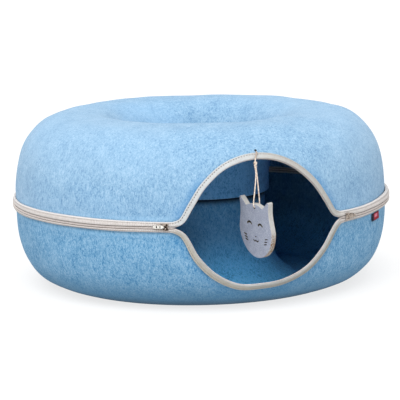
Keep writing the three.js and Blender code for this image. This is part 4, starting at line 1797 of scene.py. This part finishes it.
@dataclass(frozen=True)
class FeltToy:
    """The toy: a plate of thick felt in the outline of a cat's face, cut right through."""

    felt: Material
    edge: Material
    burnt: Material
    place: Place = (-5.5, -292.0, 85.0)
    turn: float = -77.3
    lean: float = -1.2
    tilt: float = 3.6
    thick: float = 8.3
    bevel: float = 0.75
    cheek: float = 44.0
    height: float = 89.8
    temple: Span = (38.6, 69.0)
    tip: float = 37.3
    tip_radius: float = 2.5
    root: float = 22.0
    root_height: float = 78.0
    crown: float = 4.8
    hole: Place = (0.9, 77.2, 2.3)
    cut: float = 1.6
    nose: Span = (0.8, 32.6)
    lip: Place = (3.3, 27.0, -1.9)
    lid: Place = (50.5, 5.6, 2.8)
    lid_middle: float = -0.8
    lid_aside: float = 14.6
    lid_cut: float = 2.9
    whisker: Span = (27.0, 28.3)
    whisker_step: Span = (1.6, 4.1)
    whisker_half: float = 3.4
    whisker_fan: float = 12.0
    whisker_cuts: Span = (1.9, 1.25)
    face_top: float = 62.0
    face_margin: float = 5.0
    hole_margin: float = 0.2
    cut_facing: float = 0.6

    def frame(self) -> Matrix:
        """Where the toy hangs: it leans and tilts a little about its chin.

        Returns:
            Its frame.
        """
        hung = facing_out(self.turn * DEGREE, np.array(self.place))
        leant = hung @ Matrix.Rotation(self.lean * DEGREE, 4, "Z")
        return leant @ Matrix.Rotation(self.tilt * DEGREE, 4, "X")

    def arc(self, x: float, y: float, radius: float, start: float, end: float, steps: int) -> Array:
        """Places along an arc, its angles in degrees."""
        turns = np.linspace(start, end, steps) * DEGREE
        return np.stack([x + radius * np.cos(turns), y + radius * np.sin(turns)], axis=-1)

    def arch(self, x: float, y: float, half: float, rise: float, steps: int = 13) -> Array:
        """Places along a shallow arch that rises in its middle."""
        share = np.linspace(-1, 1, steps)
        return np.stack([x + share * half, y + rise * (1 - share**2)], axis=-1)

    def slit(self, line: Array, cut: float) -> Array:
        """A cut with blunt ends.

        Args:
            line: the places that it runs through.
            cut: its width.

        Returns:
            Its outline.
        """
        ahead = unit(np.gradient(line, axis=0))
        side = np.stack([-ahead[:, 1], ahead[:, 0]], axis=-1) * cut / 2
        start, end = ahead[0] * cut * 0.35, ahead[-1] * cut * 0.35
        return np.concatenate([line + side, [line[-1] + end], (line - side)[::-1], [line[0] - start]])

    def outlines(self) -> list[Array]:
        """The lines that the plate is cut along.

        Returns:
            The toy's outline, then its hole and the cuts of its face.
        """
        tip_y = self.height - self.tip_radius
        side = np.array([(self.cheek, self.cheek), self.temple, (self.tip + self.tip_radius, tip_y)])
        cheek_line = curve_through(side, 8, True)[1:-1]
        outline = [
            self.arc(0, self.cheek, self.cheek, 180, 360, 49),
            cheek_line,
            self.arc(self.tip, tip_y, self.tip_radius, 0, 130, 9),
            self.arch(0, self.root_height, self.root, self.crown)[::-1],
            self.arc(-self.tip, tip_y, self.tip_radius, 50, 180, 9),
            (cheek_line * (-1, 1))[::-1],
        ]
        return [np.concatenate(outline), self.arc(*self.hole, 0, 337.5, 16), *self.face_cuts()]

    def face_cuts(self) -> list[Array]:
        """The outlines of nose, mouth, closed eyes and whiskers.

        Returns:
            One outline for each cut.
        """
        half, height = self.nose
        cuts = [self.slit(np.array([(-half, height), (0.0, height), (half, height)]), self.cut)]
        half, height, rise = self.lip
        lips = [self.arch(-half, height, half, rise, 7), self.arch(half, height, half, rise, 7)[1:]]
        cuts.append(self.slit(np.concatenate(lips), self.cut))
        for side, whisker_cut in zip((-1, 1), self.whisker_cuts):
            lid = self.arch(self.lid_middle + side * self.lid_aside, *self.lid)
            cuts.append(self.slit(lid, self.lid_cut))
            fan = side * self.whisker_fan * DEGREE
            reach = np.array([math.cos(fan), math.sin(fan)]) * self.whisker_half
            for row in (-1, 0, 1):
                out, up = (start + step * row for start, step in zip(self.whisker, self.whisker_step))
                middle = np.array([side * out, up])
                cuts.append(self.slit(np.array([middle - reach, middle, middle + reach]), whisker_cut))
        return cuts

    def slot_of(self, face: bpy.types.MeshPolygon) -> int:
        """Which material a face of the plate wears.

        Args:
            face: the face.

        Returns:
            0 on the front and back, 1 round the outline and 2 within the cuts.
        """
        if abs(face.normal.z) > self.cut_facing:
            return 0
        place = face.center
        from_chin = math.hypot(place.x, place.y - self.cheek)
        in_face = place.y < self.face_top and from_chin < self.cheek - self.face_margin
        x, y, radius = self.hole
        in_hole = math.hypot(place.x - x, place.y - y) < radius + self.hole_margin
        return 2 if in_face or in_hole else 1

    def build(self, axis_y: float) -> Piece:
        """Cuts the toy; its faces wear felt and its cut edges are browned.

        Args:
            axis_y: y of the ring's axis.

        Returns:
            The toy.
        """
        plate = CutPlate(self.thick, self.bevel, 3).mesh(self.outlines())
        form = Form()
        form.add_mesh(plate, self.frame())
        form.slots = [self.slot_of(face) for face in plate.polygons]
        return form.piece("toy_felt", [self.felt, self.edge, self.burnt], axis_y, smooth=False)


@dataclass(frozen=True)
class TwineLoop:
    """The twine: out of the upper felt, over its tape, through the toy and back up to its knot.

    A row of over_tape says how far aside, down and off the felt the twine lies on its way over the tape. A
    row of over_hole says how far inside the plate's face, and how far above its hole, the twine lies there.
    """

    material: Material
    diameter: float = 2.0
    azimuth: float = -0.55
    rise: float = 105.9
    pierced: float = 108.4
    clear: float = 0.15
    knot: Place = (-9.8, -292.3, 227.6)
    back_end: Place = (-8.6, -291.8, 223.6)
    fork: Place = (-8.0, -292.2, 209.0)
    apart: float = 1.0
    strand: float = 0.53
    strands: int = 3
    pitch: float = 5.5
    places: int = 320
    inner_knot: float = 3.2
    inner_strand: float = 0.85
    inside: float = 4.3
    outer_knot: Place = (2.5, 2.4, 3.2)
    outer_off: Place = (0.4, 0.0, 0.4)
    outer_strand: float = 0.8
    outer_turn: float = 0.7
    wound: Span = (9.0, 2.0)
    wound_strand: float = 0.62
    wound_steps: int = 60
    wound_turns: float = 2.6
    wound_off: Place = (0.6, 0.2, 0.0)
    wound_reach: Place = (1.75, 0.25, 0.37)
    over_hole: tuple[Span, ...] = ((0, 7), (0, 4.2), (0.5, 1.9), (2, 0.4))
    over_tape: tuple[Place, ...] = (
        (0, 0, -3.8), (0, 0, 0.8), (-0.2, 1.0, 3.0), (-1.0, 3.6, 6.2), (-2.8, 7.0, 7.8), (-4.6, 10.0, 7.8),
    )

    def route(self, half: HalfForm, toy: FeltToy) -> Array:
        """The twine's middle line.

        Args:
            half: the upper half, which the twine comes out of.
            toy: the toy that hangs on it.

        Returns:
            Places at even distances.
        """
        place, facing = half.on_felt(np.array(self.azimuth * DEGREE), np.array(self.rise))
        slope = unit(np.array([0.0, 0.0, -1.0]) + facing * facing[2])
        start = [
            place + slope * down + facing * lift + (aside, 0, 0) for aside, down, lift in self.over_tape
        ]
        frame = toy.frame()
        hole = np.array(frame @ Vector((toy.hole[0], toy.hole[1], 0.0)))
        through = np.array(frame.to_3x3() @ Vector((0.0, 0.0, 1.0)))
        off = toy.thick / 2 + self.diameter / 2 + self.clear
        sides = [(off - within, above) for within, above in self.over_hole]
        sides += [(0, 0)] + [(-beside, above) for beside, above in reversed(sides)]
        loop = [hole + through * beside + (0, 0, above) for beside, above in sides]
        knot, end, fork = np.array(self.knot), np.array(self.back_end), np.array(self.fork)
        beside = through * self.apart
        rows = [*start, knot, fork + beside, *loop, fork - beside, end]
        return spaced(curve_through(np.array(rows), 24, False), self.places, 3)

    def twisted(self, route: Array, radius: float) -> Form:
        """Lays the strands round each other.

        Args:
            route: the twine's middle line.
            radius: the twine's radius.

        Returns:
            The laid twine.
        """
        normals, others = carried_frame(route)
        along = lengths_along(route)
        form = Form()
        for part in range(self.strands):
            turns = along / self.pitch * 2 * math.pi + part * 2 * math.pi / self.strands
            offset = normals * np.cos(turns)[:, None] + others * np.sin(turns)[:, None]
            form.add(*tube(route + offset * (radius - self.strand), self.strand, 7))
        return form

    def trefoil(self, centre: Array, size: Array, thick: float, turn: float = 0.0) -> tuple[Array, Faces]:
        """A tight round knot.

        Args:
            centre: its middle.
            size: its half sizes along x, y and z.
            thick: the radius of its strand.
            turn: how far it is turned about z, in radians.

        Returns:
            Its points and faces.
        """
        t = np.linspace(0, 2 * math.pi, 97)[:-1]
        x, z = np.sin(t) + 2 * np.sin(2 * t), np.cos(t) - 2 * np.cos(2 * t)
        line = np.stack([x, -np.sin(3 * t) * 1.4, z], axis=-1)
        line = line / np.abs(line).max(axis=0) * (np.asarray(size) - thick)
        cosine, sine = math.cos(turn), math.sin(turn)
        spin = np.array([[cosine, -sine, 0], [sine, cosine, 0], [0, 0, 1]])
        return closed_tube(line @ spin.T + centre, thick, 8)

    def wrapping(self, route: Array, low: float, high: float) -> tuple[Array, Faces]:
        """The tied end, wound loosely round the twine.

        Args:
            route: the twine's middle line.
            low: the height at which the winding ends.
            high: the height at which it starts.

        Returns:
            Its points and faces.
        """
        first_half = np.arange(len(route)) < self.places // 2
        hung = route[(route[:, 2] > low) & (route[:, 2] < high) & first_half]
        turns = np.linspace(0, self.wound_turns * 2 * math.pi, self.wound_steps)
        share = np.linspace(0, len(hung) - 1, self.wound_steps)
        line = np.stack([np.interp(share, np.arange(len(hung)), hung[:, k]) for k in range(3)], axis=1)
        line = line + self.wound_off
        usual, change, pace = self.wound_reach
        reach = usual + change * np.sin(turns * pace)
        offset = np.stack([np.cos(turns) * reach, np.sin(turns) * reach, np.zeros(len(turns))], axis=-1)
        return tube(line + offset, self.wound_strand, 7)

    def build(self, half: HalfForm, toy: FeltToy, axis_y: float) -> list[Piece]:
        """Args:
            half: the upper half.
            toy: the toy that hangs on the twine.
            axis_y: y of the ring's axis.

        Returns:
            Twine, inner knot and outer knot.
        """
        route = self.route(half, toy)
        twine = self.twisted(route, self.diameter / 2).piece("twine_laid", [self.material], axis_y)
        place, facing = half.on_felt(np.array(self.azimuth * DEGREE), np.array(self.rise))
        inner = Form()
        into = facing * (self.inside + self.inner_knot)
        inner.add(*self.trefoil(place - into, np.full(3, self.inner_knot), self.inner_strand))
        hidden = inner.piece("twine_knot_tied", [self.material], axis_y)
        outer = Form()
        knot = np.array(self.knot)
        middle, size = knot + self.outer_off, np.array(self.outer_knot)
        outer.add(*self.trefoil(middle, size, self.outer_strand, self.outer_turn))
        outer.add(*self.wrapping(route, *(knot[2] - down for down in self.wound)))
        tied = outer.piece("twine_knot_outer", [self.material], axis_y)
        metres = (route + [0.0, axis_y, 0.0]) * MM
        for made in (twine, hidden, tied):
            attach(made, "root")
        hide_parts("twine")
        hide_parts("twine_knot")
        self.diameter * MM
        [tuple(p) for p in metres[::4]] + [tuple(metres[-1])]
        return [twine, hidden, tied]


@dataclass(frozen=True)
class Studio:
    """Camera, lights and floor."""

    eye: Place = (-0.997, -3.000, 0.660)
    aim: Place = (0.0, 0.015, 0.1386)
    lens: float = 177.1
    shift: Span = (-0.0006, -0.0177)
    roll: float = 1.15
    world: float = 1.0
    sun: float = 3.15
    sun_azimuth: float = -31.0
    sun_height: float = 53.0
    sun_angle: float = 50.0
    floor_half: float = 9000.0

    def place_camera(self) -> None:
        """Sets the camera at the photograph's angle."""
        lens = bpy.data.cameras.new("camera")
        lens.sensor_width = 36.0
        lens.lens = self.lens
        lens.shift_x, lens.shift_y = self.shift
        camera = linked("camera", lens)
        camera.location = self.eye
        camera.rotation_mode = "QUATERNION"
        look = (Vector(self.aim) - Vector(self.eye)).to_track_quat("-Z", "Y")
        camera.rotation_quaternion = look @ Quaternion((0, 0, 1), -self.roll * DEGREE)
        bpy.context.scene.camera = camera

    def place_sun(self) -> None:
        """Adds the one large soft light, from beside the camera and above."""
        light = bpy.data.lights.new("key_light", "SUN")
        light.energy = self.sun
        light.angle = self.sun_angle * DEGREE
        made = linked("key_light", light)
        azimuth, height = self.sun_azimuth * DEGREE, self.sun_height * DEGREE
        level = math.cos(height)
        place = Vector((math.sin(azimuth) * level, -math.cos(azimuth) * level, math.sin(height)))
        made.location = place * 3
        made.rotation_euler = (-place).to_track_quat("-Z", "Y").to_euler()

    def build(self, floor_material: Material) -> None:
        """Adds the floor, the sky and the light.

        Args:
            floor_material: what the floor wears.
        """
        corners = window(-self.floor_half, self.floor_half, self.floor_half)
        floor = Form()
        floor.add(np.column_stack([corners, np.zeros(4)]), [(0, 1, 2, 3)])
        floor.piece("studio_floor", [floor_material], 0.0)
        world = bpy.data.worlds.new("studio")
        world.use_nodes = True
        sky = world.node_tree.nodes["Background"].inputs
        sky["Color"].default_value = (1.0, 1.0, 1.0, 1.0)
        sky["Strength"].default_value = self.world
        bpy.context.scene.world = world
        self.place_sun()
        bpy.context.scene.view_settings.view_transform = "Standard"


UPPER = HalfForm(
    name="upper",
    side=1,
    height=140.4,
    crest=189.8,
    hole=108.0,
    power=2.685,
    past_zip=-10.5,
    flat=0.0,
    mouth=(
        (-148, 0, 8.4), (-134, 0.8, 8.6), (-119.8, 8, 9.2), (-106, 30.4, 9.4), (-88, 57.5, 9.4),
        (-61, 80.9, 9.6), (-31, 92.2, 10.4), (0, 95.3, 10.7), (31, 90.8, 10.2), (58.6, 77.5, 10.4),
        (84.8, 54.8, 10.6), (104.4, 28.9, 10.4), (120.2, 7.5, 10), (134, 0.8, 10.2), (148, 0, 9.6),
    ),
)
LOWER = HalfForm(
    name="lower",
    side=-1,
    height=136.0,
    crest=189.7,
    hole=101.0,
    power=2.8,
    past_zip=22.0,
    flat=25.0,
    mouth=(
        (-148, 0, 7.2), (-135, 0.8, 7.8), (-122, 7, 8.4), (-113, 18.3, 9), (-97.8, 46, 10.4),
        (-72, 72.2, 10.7), (-37.5, 89.2, 10.5), (0, 90.8, 10.4), (36.2, 86.3, 10.5), (71.8, 70.4, 10.3),
        (99, 44.6, 10.3), (117.8, 18.4, 10.2), (127.5, 7, 10.2), (137, 0.8, 10.2), (148, 0, 8.9),
    ),
)
BLUES: tuple[Colour, ...] = (
    (0.016, 0.136, 0.29), (0.098, 0.25, 0.41), (0.142, 0.298, 0.45), (0.222, 0.37, 0.52),
)
GREYS: tuple[Colour, ...] = (
    display(114, 120, 137), display(140, 146, 162), display(152, 158, 174), display(178, 182, 195),
)


def whitened(shades: tuple[Colour, ...], white: float) -> list[Colour]:
    """The shades of a felt with a share of white mixed in, for white fibres and, on the upper half, painted
    sheen.
    """
    return [tuple(channel + (1.0 - channel) * white for channel in shade) for shade in shades]


def zip_finishes() -> dict[str, Material]:
    """Makes the finishes of the zip's cloth and nylon.

    Returns:
        The tapes of both halves, the coil and the thread, by name.
    """
    upper = WovenTape(
        "tape_upper",
        open_left_lit=display(190, 196, 198),
        open_right_shaded=display(172, 173, 169),
        fold=(0.0, 0.0),
        fold_colour=display(196, 200, 202),
    )
    lower = WovenTape(
        "tape_lower",
        open_left_lit=display(170, 169, 160),
        open_right_shaded=display(150, 153, 147),
        fold=(1.9, 4.2),
        fold_colour=display(168, 172, 171),
        hole_share=0.0,
    )
    return {
        "upper_tape": upper.make(),
        "lower_tape": lower.make(),
        "coil": Nylon("zip_coil_white").make(),
        "thread": Nylon("thread_cream", rough=0.7).make(),
    }


def upper_felt(axis_y: float) -> MouldedFelt:
    """The felt of the upper half, with painted light and shade, and painted shade in the hole where the
    twine comes out.

    Args:
        axis_y: y of the ring's axis.

    Returns:
        The finish.
    """
    hole, _ = UPPER.on_felt(np.array(TwineLoop.azimuth * DEGREE), np.array(TwineLoop.pierced))
    spot = tuple(float(c) * MM for c in hole + [0.0, axis_y, 0.0])
    return MouldedFelt(
        "felt_upper",
        # More white than the lower half: white fibres and a painted sheen of the light from above.
        *whitened(BLUES, 0.08),
        # The inside's painted light, even from top to bottom.
        inner=(0.13, 0.385, 0.68),
        inner_lit_low=(0.13, 0.385, 0.68),
        # Painted shade in the hole where the twine comes out.
        hole=spot,
        sheen=0.10,
        # Painted light beside the closed zip, on the shoulders and in the rim's patch; painted shade beside
        # the mouth and low on the walls.
        edge_light=0.19,
        mouth_shade=0.56,
        shoulder_light=0.18,
        low_shade=0.08,
        rim_light=0.32,
    )


def lower_felt() -> MouldedFelt:
    """The felt of the lower half, with painted shade at its foot and a painted shadow under the inner seam.

    Returns:
        The finish.
    """
    shades = whitened(BLUES, 0.012)
    return MouldedFelt(
        # Painted shade at the foot and beside the mouth, painted shadow under the seam, painted light beside
        # the closed zip.
        "felt_lower", *shades, foot_shade_share=0.78, seam_shadow_share=0.97, edge_light=0.14, mouth_shade=0.25
    )


def dress_half(half: HalfForm, felt: Material, finishes: dict[str, Material], axis_y: float) -> None:
    """Builds one half's felt and its side of the zip.

    Args:
        half: the half's shape.
        felt: what its shell wears.
        finishes: the materials of the zip's parts.
        axis_y: y of the ring's axis.
    """
    edge = ClearEdge(half, ZipLine())
    shell = FeltShell(half, felt).build(edge, axis_y)
    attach(shell, "root")
    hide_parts(f"{half.name}_shell")
    tapes = ZipSide(half, finishes[f"{half.name}_tape"], finishes["coil"], finishes["thread"])
    tape, coil, stitches = tapes.build(edge, axis_y)
    for piece, slot in ((tape, "zip_tape"), (coil, "zip_coil"), (stitches, "zip_tape")):
        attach(piece, "root")
    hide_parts(f"{half.name}_tape")
    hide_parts(f"{half.name}_coil")
    LOG.info("%s half: shell, tape, coil and stitches", half.name)


def dress_sliders(axis_y: float) -> None:
    """Builds the two sliders with their pulls.

    Args:
        axis_y: y of the ring's axis.
    """
    # Lit and shaded copies of one nickel: the inside copy is painted shade in the slider's hollows, the
    # bright copy a painted highlight on the left slider's arch and pull.
    plate = Nickel("slider_plate", display(178, 166, 156), display(84, 68, 58)).make()
    inside = Nickel("slider_painted_shade", display(52, 42, 36), display(26, 20, 17)).make()
    bright = Nickel("slider_painted_highlight", display(240, 238, 232), display(168, 158, 146)).make()
    left = ZipSlider(Hand.LEFT, plate, inside, bright, azimuth=28.95, raised=1.9)
    right = ZipSlider(Hand.RIGHT, plate, inside, plate, azimuth=29.6, raised=0.9)
    for slider in (left, right):
        body, pull = slider.build(UPPER, ZipLine(), axis_y)
        for piece, node in ((body, "slider"), (pull, "pull")):
            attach(piece, "root")
            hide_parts(f"{node}_{slider.hand.name.lower()}")


def main() -> None:
    """Builds the tunnel piece by piece."""
    logging.basicConfig(level=logging.INFO, format="%(name)s: %(message)s")
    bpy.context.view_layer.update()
    axis_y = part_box("lower_shell")[1].y / MM - UPPER.radius

    studio = Studio()
    studio.place_camera()
    toy = FeltToy(
        NeedleFelt("toy_felt_grey", *GREYS, clump=620.0, upright=1.0, spread=0.12).make(),
        CutEdge("toy_edge").make(),
        CutEdge("toy_cuts", display(94, 90, 78), display(50, 42, 34)).make(),
    )
    TwineLoop(Jute("twine_jute").make()).build(UPPER, toy, axis_y)
    LOG.info("twine and its knots")

    finishes = zip_finishes()
    dress_half(UPPER, upper_felt(axis_y).make(), finishes, axis_y)
    dress_half(LOWER, lower_felt().make(), finishes, axis_y)
    dress_sliders(axis_y)
    LOG.info("sliders and pulls")

    label = SewnLabel(WovenLabel("label_red").make()).build(LOWER, ZipLine(), axis_y)
    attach(label, "root")
    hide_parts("label")
    LOG.info("label")

    face = toy.build(axis_y)
    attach(face, "root")
    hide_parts("toy")
    LOG.info("toy")

    studio.build(StudioFloor("floor_pale").make())


if __name__ == "__main__":
    main()
